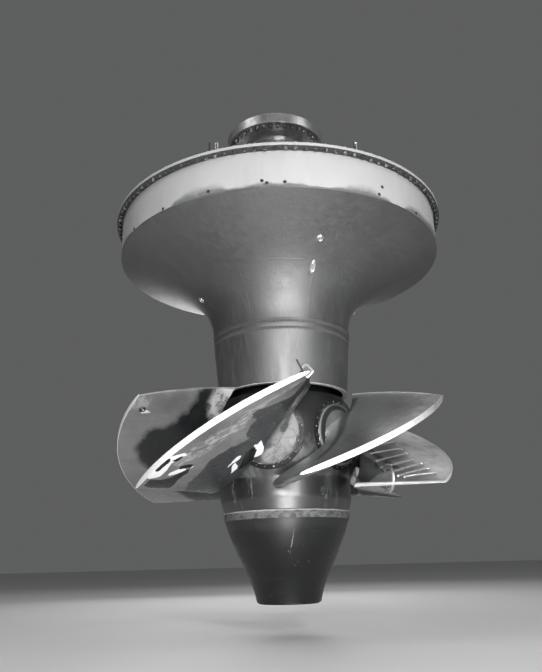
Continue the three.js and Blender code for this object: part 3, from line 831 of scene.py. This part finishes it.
# Shaft, with a channel in its coupling face for the stud ends
shaft = {"foot": -4.15, "flangeTop": -3.9, "couplingFoot": 2.72, "top": 3.0, "channel": 2.986}
turnedPieces("runner", {"turbineShaftSkin": (160, "shaft", "turbine_shaft", "machined_steel", [
    (0, shaft["foot"]), (1.18, shaft["foot"], 0.008), (1.18, shaft["flangeTop"], 0.012),
    (0.75, shaft["flangeTop"], 0.04), (0.75, 2.59, 0.02), (0.782, 2.688, 0.02),
    (0.88, shaft["couplingFoot"], 0.012), (1.34, shaft["couplingFoot"], 0.01), (1.34, shaft["top"], 0.01),
    (1.292, shaft["top"], 0.003), (1.292, shaft["channel"], 0.003), (1.148, shaft["channel"], 0.003),
    (1.148, shaft["top"], 0.003), (0.42, shaft["top"], 0.008), (0.42, 2.96, 0.006), (0, 2.96)])})
hubBolts = {"ring": (24, 1.04, shaft["flangeTop"], 7.0), "head": (0.11, 0.085, 0.066, 0.01)}
coupling = {"count": 40, "circle": 1.22, "first": 4.0, "head": (0.1, 0.09, 0.062, 0.012),
            "stud": [(0, -0.02), (0.052, -0.02), (0.052, -0.005), (0.047, -0.001), (0.018, -0.001),
                     (0.014, -0.006), (0, -0.006)]}
below, above = (ringOf(coupling["count"], coupling["circle"], shaft[level], coupling["first"])
                for level in ("couplingFoot", "top"))
addBolts("couplingBoltHeads", below, coupling["head"], "bolt", "runner", -1)
studs = repeated(roundShape(coupling["stud"], 20), above, upright(above))
addPiece("couplingStudEnds", studs, "bolt", "runner")
addBolts("hubFlangeBolts", ringOf(*hubBolts["ring"]), hubBolts["head"], "bolt", "runner")

# A thin pipe stands against the shaft, held by three clips.
pipe = {"azimuth": 14.0, "reach": 0.775, "radius": 0.016, "bottom": -1.9, "top": 2.6,
        "clips": (-1.2, 0.35, 1.9), "clipHalf": 0.02, "clipOver": 0.008}


def pipeLength(levels, radius):
    # A round bar that stands at the pipe's place through all the levels.
    path = [frontPlace(pipe["reach"], height, pipe["azimuth"]) for height in levels]
    return carried(path, (0, 1, 0), circle(radius))


half = pipe["clipHalf"]
blocks = [pipeLength(np.linspace(pipe["bottom"], pipe["top"], 30), pipe["radius"])]
blocks += [pipeLength((height - half, height, height + half), pipe["radius"] + pipe["clipOver"])
           for height in pipe["clips"]]
addPiece("shaftPipe", joined(blocks), "brightBolt", "runner")
print("shaft made")

# Hub, joint ring and cone. The hub's ball runs from its waist up to its shoulder.
hub = {"ball": 1.8, "axis": -5.57, "shoulder": 0.96, "waist": 1.54, "waistOver": 0.03,
       "plug": [(0, 0.008), (0.052, 0.008), (0.058, 0.001), (0.078, 0.001), (0.084, 0.012), (0.1, 0.012),
                (0.106, -0.006), (0, -0.006)],
       "plugPlaces": ((32.9, -6.82), (212.9, -6.82))}
swing = np.linspace(hub["waistOver"] - math.acos(hub["waist"] / hub["ball"]),
                    math.asin(hub["shoulder"] / hub["ball"]), 56)
ball = np.stack([hub["ball"] * np.cos(swing), hub["axis"] + hub["ball"] * np.sin(swing)], -1)
turnedPieces("runner", {
    "hubSkin": (192, "hub", "runner_hub", "dark_paint", [
        (0, -7.21), (1.462, -7.21, 0.01), (1.54, -6.95, 0.05), (hub["waist"], -6.502, 0.1), *ball,
        (1.18, -4.61, 0.03), (1.18, -4.1503, 0.006), (0, -4.1503)]),
    "jointRing": (192, "ring", "hub_joint_ring", "bare_steel", [
        (0.9, -7.39), (1.474, -7.39, 0.008), (1.474, -7.2103, 0.012), (0.9, -7.2103)]),
    "coneSkin": (192, "cone", "runner_cone", "dark_paint", [
        (0, -9.15), (0.70, -9.15), *curve((0.73, -9.15), (0.84, -8.59), (1.21, -8.19), (1.44, -7.3903), 60),
        (1.425, -7.3903), (0, -7.3903)]),
    "conePlate": (128, "cone", "cone_end_plate", "dark_paint", [
        (0, -9.18), (0.685, -9.18, 0.006), (0.70, -9.165, 0.004), (0.70, -9.1503), (0, -9.1503)]),
})

# Seal rings round the blades' discs, with their screws and lips
blades = {"count": 6, "first": -12}
out, ring, up = spokes(np.radians(blades["first"] + 360 / blades["count"] * np.arange(blades["count"])))
bladeAxes = np.stack([out, up, -ring], -1)
bladeCentres = np.tile([0.0, 0.0, hub["axis"]], (blades["count"], 1))
seal = {"inner": 0.699, "outer": 0.81, "under": 1.796, "sphere": 1.806, "screws": 24, "circle": 0.755,
        "lip": 0.709, "lipRadius": 0.008,
        "screw": [(0, 0.003), (0.009, 0.003), (0.011, 0.010), (0.016, 0.010), (0.019, 0.006),
                  (0.019, -0.002), (0, -0.002)]}


def onSphere(radius, sphere):
    # How far out along a blade's axis a sphere about the hub's centre lies, at a radius from it.
    return math.sqrt(sphere ** 2 - radius ** 2)


sealOutline = rounded([
    (seal[edge], onSphere(seal[edge], seal[level]), rounding)
    for edge, level, rounding in (("inner", "under", 0), ("outer", "under", 0), ("outer", "sphere", 0.004),
                                  ("inner", "sphere", 0.004))])
shape = turned(sealOutline, 96), [gridFaces(len(sealOutline), 96, True, True)]
addPiece("bladeSealRings", repeated(shape, bladeCentres, bladeAxes), "seal", "runner",
         [f"blade_seal_ring_{i + 1}" for i in range(blades["count"])])
spots = ringOf(seal["screws"], seal["circle"], onSphere(seal["circle"], seal["sphere"]), 7.5)
ways = facing(spots / np.linalg.norm(spots, axis=1, keepdims=True))
shape = repeated(roundShape(seal["screw"]), spots, ways)
addPiece("sealRingScrews", repeated(shape, bladeCentres, bladeAxes), "screw", "runner")
path = around(seal["lip"], fullTurn(96), onSphere(seal["lip"], seal["sphere"]))
shape = carried(path, path / seal["sphere"], circle(seal["lipRadius"], 8), True)
addPiece("sealRingLips", repeated(shape, bladeCentres, bladeAxes), "screw", "runner")
addPlugs("hubPlugs", hub["plug"], 32, hub["waist"], hub["plugPlaces"], "screw", "runner")
print("hub made")

# Blades: run is the way along the chord, square to the blade's own axis, and rise is upwards.
form = {"tipSphere": 3.97, "rootSphere": 1.83, "sag": 0.3, "rootThick": 0.4, "tipThick": 0.125, "edge": 0.026,
        "thinning": 0.8, "lip": 0.008, "lipStart": 0.0025, "rows": 72, "across": 76}
leadEdge = {"rootRun": 0.93, "tipRun": 1.311, "rootRise": 1.1, "tipRise": 0.735, "lift": 0.22, "bow": 0.05}
trailEdge = {"rootRun": -1.61, "tipRun": -2.605, "rootRise": -1.16, "tipRise": -1.185, "lift": 0.43,
             "bow": 0.0}
disc = {"radius": 0.69, "dome": 0.685, "sphere": 1.812, "under": 1.8015, "chamfer": 0.004, "fillet": 0.26,
        "swellEnd": 0.66, "swellReach": 0.3, "sink": 0.024}


def between(a, b, t):
    # From a to b by the share t.
    return a + (b - a) * t


def bladePoint(span, chord, side, offset=0.0, trim=0.0):
    # Run and rise change evenly from the trailing edge to the leading edge, less a sag, and half
    # the thickness is set off square to that line. The half thickness swells into a fillet
    # towards the trunnion disc. The radius from the hub's centre runs from root to tip.
    span, chord, side = np.broadcast_arrays(*(np.asarray(v, float) for v in (span, chord, side)))

    def edgeRise(edge):
        return between(edge["rootRise"], edge["tipRise"], span) + 4 * edge["bow"] * span * (1 - span)

    along = (chord + 1) / 2
    back = between(trailEdge["rootRun"], trailEdge["tipRun"], span)
    front = between(leadEdge["rootRun"], leadEdge["tipRun"], span)
    low, high = edgeRise(trailEdge), edgeRise(leadEdge)
    sag = between(form["sag"], 0, span)
    run = between(back, front, along)
    rise = between(low, high, along) - sag * (1 - chord ** 2)
    full = np.sqrt(np.maximum(1 - np.abs(chord) ** between(3, 6, span), 0))
    thick = between(form["rootThick"], form["tipThick"], span ** form["thinning"]) - form["edge"]
    half = (thick * full + form["edge"]) / 2 - trim
    near = np.clip((disc["swellEnd"] - np.hypot(run, rise)) / disc["swellReach"], 0, 1)
    near = near * near * (3 - 2 * near)
    lift = np.where(chord > 0, leadEdge["lift"], trailEdge["lift"]) * chord ** 2
    root = form["rootSphere"] + lift - disc["sink"] * near
    radius = between(root, form["tipSphere"], span) + offset
    level = np.clip(1 - (radius - seal["sphere"]) / disc["fillet"], 0, 1)
    half = half + near * disc["fillet"] * (1 - np.sqrt(np.maximum(1 - level ** 2, 0)))
    slope = (high - low) / 2 + 2 * sag * chord
    length = np.hypot((front - back) / 2, slope)
    cap = (form["edge"] / 2 * np.sqrt(np.maximum(1 - side ** 2, 0)) - trim) * chord * np.abs(chord) ** 11
    acrossRun, acrossRise = (front - back) / 2 / length, slope / length
    x = run - side * half * acrossRise + cap * acrossRun
    z = rise + side * half * acrossRun + cap * acrossRise
    return np.stack([x, np.sqrt(np.maximum(radius ** 2 - x ** 2 - z ** 2, 0.01)), z], -1)


def bladeShape():
    # Rows round the section from root to tip, and a strip of faces across each end. The last
    # rows at both ends draw in a little, for a rounded lip. Points are (run, outwards, rise).
    count, lip, start = form["across"], form["lip"], form["lipStart"]
    chord = -np.cos(np.linspace(0, np.pi, count))
    turn = np.linspace(0, np.pi, 7)[1:-1]
    aroundChord = np.concatenate([chord, np.ones(5), chord[::-1], -np.ones(5)])
    aroundSide = np.concatenate([-np.ones(count), -np.cos(turn), np.ones(count), np.cos(turn)])
    spans = np.linspace(0, 1, form["rows"]) ** 1.5
    rows = [(0, 0.0, lip), (0, start, start), *((span, lip * (1 - 2 * span), 0) for span in spans),
            (1, -start, start), (1, 0.0, lip)]
    span, offset, trim = (np.array(rows)[:, i:i + 1] for i in range(3))
    body = bladePoint(span, aroundChord, aroundSide, offset, trim)
    blocks = [(body.reshape(-1, 3), [gridFaces(body.shape[0], body.shape[1], False, True)])]
    sides = np.linspace(-1, 1, 9)[:, None]
    for end in (0, 1):
        cap = bladePoint(end, chord, sides, 0.0, lip * np.abs(sides) ** 0.5)
        blocks.append((cap.reshape(-1, 3), [gridFaces(len(sides), count)]))
    return joined(blocks)


def discShape():
    # The trunnion disc: a domed top, a short side and a sphere below it, all about the hub's centre.
    swing = np.linspace(0, math.asin(disc["dome"] / disc["sphere"]), 14)
    dome = np.stack([disc["sphere"] * np.sin(swing), disc["sphere"] * np.cos(swing)], -1)
    under = dome[::-1] * disc["under"] / disc["sphere"]
    edge = [(disc["radius"], onSphere(disc["radius"], disc["sphere"]) - disc["chamfer"]),
            (disc["radius"], onSphere(disc["radius"], disc["under"]))]
    points, faces = roundShape(np.concatenate([dome, edge, under]), 96)
    return points[:, [0, 2, 1]], faces


# Outlines on the blades' lower faces as (run, outwards) pairs, in lists by the blade's number
# less one: the dark coating, patches of painted reflection, pale flecks, brushed streaks (on the sixth
# blade a painted highlight) and polished spots.
coatOutlines = {
    0: [[(1.45, 3.45), (1.01, 2.59), (0.89, 2.56), (0.76, 2.59), (0.65, 2.74), (0.50, 3.04), (0.36, 3.16),
        (0.22, 3.40), (0.11, 3.41), (0.06, 3.19), (0.09, 2.98), (-0.08, 2.93), (-0.20, 2.78), (-0.21, 2.51),
        (-0.38, 2.62), (-0.57, 2.69), (-0.78, 2.72), (-1.02, 2.70), (-1.16, 2.56), (-1.43, 2.34),
        (-1.63, 2.22), (-1.80, 1.93), (-2.2, 1.2), (1.5, 1.2)]],
    5: [[(1.08, 2.34), (0.95, 2.36), (0.86, 2.48), (0.75, 2.52), (0.69, 2.67), (0.61, 2.73), (0.55, 2.76),
        (0.48, 2.86), (0.40, 3.01), (0.37, 3.18), (0.31, 3.33), (0.10, 3.39), (-0.09, 3.50), (-0.30, 3.57),
        (-0.44, 3.48), (-0.67, 3.41), (-0.80, 3.25), (-1.1, 2.9), (-1.5, 2.4), (-1.85, 1.9), (-2.2, 1.2),
        (1.5, 1.2)]],
}
otherCoat = [[(1.12, 2.5), (0.9, 2.5), (0.7, 2.68), (0.45, 2.95), (0.25, 3.25), (0.05, 3.2), (-0.2, 2.95),
              (-0.5, 2.9), (-0.9, 2.85), (-1.2, 2.6), (-1.5, 2.3), (-1.8, 1.95), (-2.2, 1.2), (1.5, 1.2)]]
paintedReflectionOutlines = {
    0: [[(-2.41, 2.81), (-2.18, 3.00), (-2.03, 2.83), (-1.84, 2.76), (-1.61, 2.80), (-1.39, 2.82),
         (-1.49, 2.66), (-1.64, 2.60), (-1.78, 2.51), (-1.94, 2.34), (-2.04, 2.25), (-2.36, 2.59)],
        [(-1.98, 3.31), (-1.82, 3.42), (-1.64, 3.53), (-1.54, 3.54), (-1.57, 3.42), (-1.73, 3.33),
         (-1.93, 3.21)],
        [(-1.56, 3.40), (-1.43, 3.41), (-1.31, 3.40), (-1.39, 3.30), (-1.51, 3.30)],
        [(-1.60, 2.96), (-1.50, 3.05), (-1.37, 2.98), (-1.24, 2.83), (-1.39, 2.82)],
        [(-0.54, 1.91), (-0.38, 2.15), (-0.22, 2.10), (-0.23, 1.88), (-0.36, 1.72), (-0.51, 1.68),
         (-0.68, 1.73)]],
}
fleckOutlines = {
    0: [[(-2.22, 3.11), (-2.00, 3.29), (-1.77, 3.45), (-1.52, 3.59), (-1.26, 3.47), (-1.20, 3.36),
         (-1.46, 3.34), (-1.58, 3.33), (-1.76, 3.14), (-1.98, 2.97), (-2.17, 3.04)],
        [(-1.89, 2.87), (-1.76, 2.97), (-1.59, 2.97), (-1.37, 2.87), (-1.27, 2.80), (-1.41, 2.78),
         (-1.61, 2.80)],
        [(-0.86, 2.04), (-0.72, 2.14), (-0.56, 2.21), (-0.47, 2.16), (-0.54, 2.07), (-0.71, 2.09)],
        [(-0.83, 1.76), (-0.73, 2.01), (-0.65, 2.05), (-0.64, 1.87), (-0.69, 1.79)],
        [(-0.35, 1.79), (-0.20, 1.92), (-0.22, 2.16), (-0.13, 2.08), (-0.06, 2.11), (-0.06, 1.84),
         (-0.18, 1.77)]],
    5: [[(0.93, 3.55), (0.78, 3.33), (0.76, 3.55)]],
}
streakAndSheenOutlines = {
    0: [[(-1.6, 3.25), (-1.15, 3.49), (-0.82, 3.55), (-0.41, 3.56), (-0.13, 3.49), (0.13, 3.70), (0.36, 3.65),
         (0.68, 3.46), (0.99, 3.35), (1.1, 3.0), (0.5, 3.35), (0.07, 3.31), (-0.13, 3.11), (-0.43, 3.17),
         (-0.76, 3.11), (-1.08, 3.10), (-1.5, 2.9)]],
    5: [[(0.95, 3.45), (0.95, 3.8), (1.3, 3.9), (1.3, 3.5), (1.1, 3.35)]],
}
polishOutlines = {
    0: [[(-0.3, 1.3), (-0.15, 1.80), (0.12, 1.92), (0.31, 1.97), (0.47, 2.02), (0.6, 2.12), (0.75, 2.2),
         (0.95, 2.0), (0.95, 1.3)]],
    5: [[(0.45, 1.4), (0.6, 2.0), (0.85, 2.08), (1.02, 1.95), (1.1, 1.4)]],
}

# On the upper faces: the line where the root's fillet ends, with painted shade along it, and the third
# blade's dark root.
creaseLine = [(0.6, 1.74), (0.34, 1.78), (0.02, 1.85), (-0.39, 2.0), (-0.92, 2.12), (-1.47, 2.23)]
rootOutlines = {
    2: [[(-0.5, 1.2), (-0.62, 1.74), (-0.89, 1.88), (-1.23, 1.90), (-1.52, 1.76), (-1.68, 1.52),
         (-1.8, 1.2)]],
}
leadLine, trailLine = (bladePoint(np.linspace(0, 1, 24), end, 0.0)[:, :2] for end in (1.0, -1.0))


def edgeDistance(spots, outline, closed=True):
    # How far each spot lies from the nearest side of an outline.
    a = np.array(outline, float)
    b = np.roll(a, -1, 0)
    if not closed:
        a, b = a[:-1], b[:-1]
    p = spots[:, None]
    along = np.clip(((p - a) * (b - a)).sum(-1) / ((b - a) ** 2).sum(-1), 0, 1)
    return np.linalg.norm(p - a - along[..., None] * (b - a), axis=-1).min(1)


def insideDistance(spots, outline):
    # How far inside a closed outline each spot lies, and less than nothing outside it.
    a = np.array(outline, float)
    b = np.roll(a, -1, 0)
    x, y = spots[:, :1], spots[:, 1:]
    straddles = (a[:, 1] > y) != (b[:, 1] > y)
    crossing = (b[:, 0] - a[:, 0]) * (y - a[:, 1]) / (b[:, 1] - a[:, 1] + 1e-12) + a[:, 0]
    inside = (straddles & (x < crossing)).sum(1) % 2 == 1
    return np.where(inside, 1, -1) * edgeDistance(spots, outline)


# Wear and painted light that only some blades have: bare discs and dull leading edges, a painted
# highlight on one trailing edge, a soft coating edge, painted light on one upper face by distance
# out, a tip that greys by run, and painted shade on two blades' coating. Each blade's grain is moved
# a way apart from the next one's.
wear = {"dull": (1, 2), "lit": 2, "feather": 5, "paintedFaceLight": (2, [2.45, 3.0], [0.1, 0.75]),
        "tipGreying": (1, [-1.1, 0.5], [0.0, 1.0]), "coatShade": {5: 0.85, 4: 0.6}, "apart": 7.3}


def paintBlade(piece, number):
    # Stores each point's place on its own blade and how far it lies inside the painted outlines.
    # A mask of the lower face is pushed below nothing on the upper one.
    mesh = piece.data
    count = len(mesh.vertices)
    flat = np.empty(count * 3)
    mesh.vertices.foreach_get("co", flat)
    points = (flat.reshape(-1, 3) - [0, 0, hub["axis"]]) @ bladeAxes[number]
    mesh.vertices.foreach_get("normal", flat)
    ways = flat.reshape(-1, 3) @ bladeAxes[number]
    spots = points[:, [0, 2]]
    fromCentre = np.linalg.norm(points, axis=1)
    fromAxis = np.hypot(points[:, 0], points[:, 1])
    isDull = number in wear["dull"]
    isDisc = (fromCentre < disc["sphere"] + 0.01) & (fromAxis < disc["radius"] + 0.01)
    under = np.where(isDisc, not isDull, np.clip(1.2 - ways[:, 1] * 4, 0, 1))
    hidden = np.where(under > 0.5, 0, -2.0)

    def most(outlines):
        depths = [insideDistance(spots, outline) for outline in outlines]
        return np.max([np.full(count, -1.0), *depths], axis=0)

    values = {
        "underside": under,
        "fromCentre": fromCentre,
        "onDisc": np.where(isDisc, fromAxis, -1.0),
        "leadEdge": edgeDistance(spots, leadLine, False),
        "dullEdge": isDull,
        "litEdge": edgeDistance(spots, trailLine, False) + (number != wear["lit"]),
        "coating": most(coatOutlines.get(number, otherCoat)) + hidden,
        "paintedReflection": most(paintedReflectionOutlines.get(number, [])) + hidden,
        "fleck": most(fleckOutlines.get(number, [])) + hidden,
        "polished": most(polishOutlines.get(number, [])) + hidden,
        "streakAndSheen": most(streakAndSheenOutlines.get(number, streakAndSheenOutlines[0])),
        "feather": number == wear["feather"],
        "crease": edgeDistance(spots, creaseLine, False),
        "rootDark": most(rootOutlines.get(number, [])) - hidden - 2.0,
        "paintedFaceLight": np.interp(spots[:, 1], *wear["paintedFaceLight"][1:]) * (number == wear["paintedFaceLight"][0]),
        "tipGreying": np.interp(spots[:, 0], *wear["tipGreying"][1:]) * (number == wear["tipGreying"][0]),
        "coatShade": wear["coatShade"].get(number, 0.0),
    }
    for name, numbers in values.items():
        spread = np.full(count, numbers, np.float32)
        mesh.attributes.new(name, "FLOAT", "POINT").data.foreach_set("value", spread)
    place = (points[:, [0, 2, 1]] + [number * wear["apart"], 0, 0]).astype(np.float32)
    mesh.attributes.new("bladePlace", "FLOAT_VECTOR", "POINT").data.foreach_set("vector", place.ravel())


def turnToBlade(ways, number):
    # Ways given as (run, outwards, rise) on a blade, turned to the row frame.
    return np.asarray(ways)[:, [0, 2, 1]] @ bladeAxes[number].T


def toBlade(points, number):
    # From (run, outwards, rise) on a blade to the row frame.
    return turnToBlade(points, number) + [0, 0, hub["axis"]]


bladePoints, bladeFaces = joined([bladeShape(), discShape()])
for i in range(blades["count"]):
    shape = toBlade(bladePoints, i), bladeFaces
    paintBlade(addPiece(f"bladeSkin_{i + 1}", shape, "blade", f"blade_body_{i + 1}", [f"blade_{i + 1}"]), i)
print("blades made:", len(bladePoints), "points each")

# Things left on single blades are placed on fine grids of the upper face, 1, and the lower, -1.
spans, chords = np.meshgrid(np.linspace(0, 1, 160), np.linspace(-1, 1, 240), indexing="ij")
faceGrids = {side: bladePoint(spans, chords, float(side)).reshape(-1, 3) for side in (1, -1)}


def onFace(side, run, out):
    # The face's point over a (run, outwards) pair.
    grid = faceGrids[side]
    return grid[np.argmin(np.hypot(grid[:, 0] - run, grid[:, 1] - out))]


def faceFrame(side, run, out, reach=0.12):
    # The face's point and the way it faces there, from short steps along the face both ways.
    near = [onFace(side, run + a, out + b) for a, b in ((reach, 0), (-reach, 0), (0, reach), (0, -reach))]
    way = np.cross(near[0] - near[1], near[2] - near[3])
    way /= np.linalg.norm(way)
    return onFace(side, run, out), way * side * np.sign(way[2])


def rod(path, facing, radius, number, count=12, flat=1.0):
    # A bar of round section along a path of (run, outwards, rise) points on a blade.
    return carried(toBlade(path, number), facing, circle(radius, count, flat))


# Bars that rest on the third blade's upper face, each from one (run, outwards) pair to another,
# bent to the parabola that fits the face below it, with a knob at both ends.
bars = {"radius": 0.021, "stand": 0.03,
        "knob": [(0, -0.03), (0.02, -0.03), (0.036, -0.015), (0.036, 0.015), (0.02, 0.03), (0, 0.03)],
        "lines": [(-0.39, 2.31, -0.30, 2.82), (-0.70, 1.93, -0.62, 2.83), (-1.04, 1.93, -0.89, 2.81),
                  (-1.37, 1.88, -1.23, 2.79), (-1.66, 1.98, -1.51, 2.84), (-1.90, 2.0, -1.84, 2.80),
                  (-2.0, 2.1, -2.15, 2.78)]}
blocks = []
for run0, out0, run1, out1 in bars["lines"]:
    path = np.array([onFace(1, between(run0, run1, t), between(out0, out1, t)) + [0, 0, bars["stand"]]
                     for t in np.linspace(0, 1, 9)])
    path[:, 2] = np.polyval(np.polyfit(path[:, 1], path[:, 2], 2), path[:, 1])
    ends = toBlade(path[[0, -1]], 2)
    knobs = repeated(roundShape(bars["knob"], 14), ends, upright(ends))
    blocks += [rod(path, (0, 0, 1), bars["radius"], 2), knobs]
addPiece("bladeRestBars", joined(blocks), "barSteel", "blade_body_3")

# A clamp grips the third blade's trailing edge: a bent bar and the screw through its lower jaw.
clamp = {"centre": (-1.74, 1.84, -1.02), "reach": 0.24, "tall": 1.1, "radius": 0.055, "arc": (52, 296),
         "screw": (-0.07, 0.14), "screwRadius": 0.018}
turn = np.radians(np.linspace(*clamp["arc"], 22))
path = clamp["reach"] * np.stack([np.cos(turn), 0 * turn, clamp["tall"] * np.sin(turn)], -1) + clamp["centre"]
foot, top = (path[-1] + [0, 0, level] for level in clamp["screw"])
addPiece("bladeEdgeClamp", joined([
    rod(path, turnToBlade([[0, 1.0, 0]], 2)[0], clamp["radius"], 2, 12, 0.8),
    rod(np.linspace(foot, top, 8), (0, 1, 0), clamp["screwRadius"], 2, 10)]), "barSteel", "blade_body_3")

# The first blade's leading corner: a bow shackle on its pin, and the bar that was used to turn
# it. The bow is drawn flat, as (over, along) pairs, and then leans about the blade's own axis.
shackle = {"foot": (1.285, 3.585, 0.735), "reach": 0.074, "arch": 0.1, "legs": (-0.05, 0.08),
           "radius": 0.031, "lean": 38, "swell": 0.12, "pin": 0.02, "pinOver": 0.06, "along": (0.95, 0.3)}
turn = np.linspace(0, np.pi, 15)
legs = np.linspace(*shackle["legs"], 5)
bow = np.concatenate([
    np.stack([np.full(5, shackle["reach"]), legs], -1),
    np.stack([shackle["reach"] * np.cos(turn) * (1 + shackle["swell"] * np.sin(turn)),
              shackle["arch"] + shackle["reach"] * np.sin(turn)], -1),
    np.stack([np.full(5, -shackle["reach"]), legs[::-1]], -1)])
lean = math.radians(shackle["lean"])
over, rise = bow @ [math.cos(lean), -math.sin(lean)], bow @ [math.sin(lean), math.cos(lean)]
path = np.stack([over * shackle["along"][0], over * shackle["along"][1], rise], -1) + shackle["foot"]
past = (path[0] - path[-1]) * shackle["pinOver"]
bent = rod(path, (0.2, 1, 0), shackle["radius"], 0)
pin = rod(np.linspace(path[0] + past, path[-1] - past, 8), (0, 0, 1), shackle["pin"], 0)
addPiece("bladeShackle", joined([bent, pin]), "shackle", "blade_body_1")

# The bar runs from just past its foot up to its top, and the collar round it faces as the blade.
turningBar = {"foot": (1.17, 3.64), "start": (0.03, 0, 0.0), "end": (-0.09, 0.03, 0.26), "radius": 0.019,
              "collar": [(0, -0.02), (0.034, -0.02), (0.038, 0.02), (0.026, 0.035), (0, 0.035)]}
foot, way = faceFrame(1, *turningBar["foot"])
path = foot + np.linspace(turningBar["start"], turningBar["end"], 10)
bar = rod(path, (0, 1, 0), turningBar["radius"], 0)
axes = facing(turnToBlade(way[None], 0))
collar = repeated(roundShape(turningBar["collar"], 16), toBlade(foot[None], 0), axes)
addPiece("bladeTurningBar", joined([bar, collar]), "rod", "blade_body_1")

# The sixth blade's lifting hole, a shallow round recess in a raised pad
lifting = {"place": (0.885, 3.53), "pad": [(0, 0.001), (0.05, 0.001), (0.056, 0.012), (0.074, 0.014),
                                           (0.082, -0.004), (0, -0.004)]}
spot, way = faceFrame(-1, *lifting["place"])
shape = repeated(roundShape(lifting["pad"], 28), toBlade(spot[None], 5), facing(turnToBlade(way[None], 5)))
addPiece("bladeLiftingHole", shape, "rod", "blade_body_6")
print("blade fittings made")

# Camera: it looks ahead by yaw and pitch, and rolls about that way.
view = {"place": (0.0, -16.2, -8.25), "pitch": 18.61, "yaw": -0.91, "roll": -1.48, "lens": 35.652,
        "sensor": 36.0, "far": 400}
yaw, pitch, roll = (math.radians(view[key]) for key in ("yaw", "pitch", "roll"))
ahead = Vector((math.sin(yaw) * math.cos(pitch), math.cos(yaw) * math.cos(pitch), math.sin(pitch)))
level = Vector((math.cos(yaw), -math.sin(yaw), 0))
above = level.cross(ahead)
right = math.cos(roll) * level + math.sin(roll) * above
up = math.cos(roll) * above - math.sin(roll) * level
lens = bpy.data.cameras.new("hallCamera")
lens.lens = view["lens"]
lens.sensor_width = view["sensor"]
lens.sensor_fit = "AUTO"
lens.clip_end = view["far"]
camera = bpy.data.objects.new("hallCamera", lens)
camera.matrix_world = Matrix.Translation(view["place"]) @ Matrix((right, up, -ahead)).transposed().to_4x4()
bpy.context.scene.collection.objects.link(camera)
bpy.context.scene.camera = camera

# Lights: each lamp's place, target, size, power in watts and spread in degrees
lamps = {
    "keyLamp": ((7.4, -22.2, 3.2), (0, 0, -3.0), (3.0, 6.5), 2200, 180),
    "waistLamp": ((-1.9, -24.0, -4.9), (0, 0, -6.0), (3.5, 3.2), 260, 60),
    "bellLamp": ((5.5, -21.6, -7.4), (0, 0, -3.0), (3.0, 3.0), 175, 50),
    "lowLamp": ((0.15, -7.9, -9.6), (0.15, -7.89, 0.0), (2.4, 6.4), 550, 180),
    "flareLamp": ((1.5, -6.8, -9.2), (0.1, -2.0, -1.9), (1.4, 2.0), 24, 50),
    "leftLamp": ((-15.0, -10.0, 15.0), (0, 0, -1.0), (8, 8), 900, 180),
    "rightLamp": ((15.5, -9.0, 15.0), (0, 0, -1.0), (8, 8), 800, 180),
    "backLamp": ((3.0, 22.0, 9.0), (0, 0, -3.5), (14, 10), 1250, 180),
    "hindLamp": ((-3.0, 22.0, -1.4), (0, 0, -5.0), (14, 3.6), 640, 110),
    "topLamp": ((0.0, -3.0, 16.0), (0, 0, 0), (10, 10), 700, 180),
}
for name, (spot, target, size, power, spread) in lamps.items():
    data = bpy.data.lights.new(name, "AREA")
    data.shape = "RECTANGLE"
    data.size, data.size_y = size
    data.energy = power
    data.spread = math.radians(spread)
    lamp = bpy.data.objects.new(name, data)
    lamp.location = spot
    lamp.rotation_euler = (Vector(target) - Vector(spot)).to_track_quat("-Z", "Y").to_euler()
    lamp.visible_camera = False
    bpy.context.scene.collection.objects.link(lamp)

# The pale surroundings and the floor below the part
hall = {"colour": (0.80, 0.81, 0.82, 1), "strength": 0.14, "floor": -9.75, "reach": 150, "floorTone": 0.66}
world = bpy.data.worlds.new("paleHall")
world.use_nodes = True
background = world.node_tree.nodes["Background"]
background.inputs["Color"].default_value = hall["colour"]
background.inputs["Strength"].default_value = hall["strength"]
bpy.context.scene.world = world
bpy.context.scene.view_settings.view_transform = "Standard"
floorMesh = bpy.data.meshes.new("floor")
reach, foot = hall["reach"], hall["floor"]
corners = [(-reach, -reach, foot), (reach, -reach, foot), (reach, reach, foot), (-reach, reach, foot)]
floorMesh.from_pydata(corners, [], [(0, 1, 2, 3)])
floorMesh.materials.append(Finish("paleFloor", Roughness=0.75).finish(grey(hall["floorTone"])))
floor = bpy.data.objects.new("floor", floorMesh)
bpy.context.scene.collection.objects.link(floor)
print("camera and lights set")
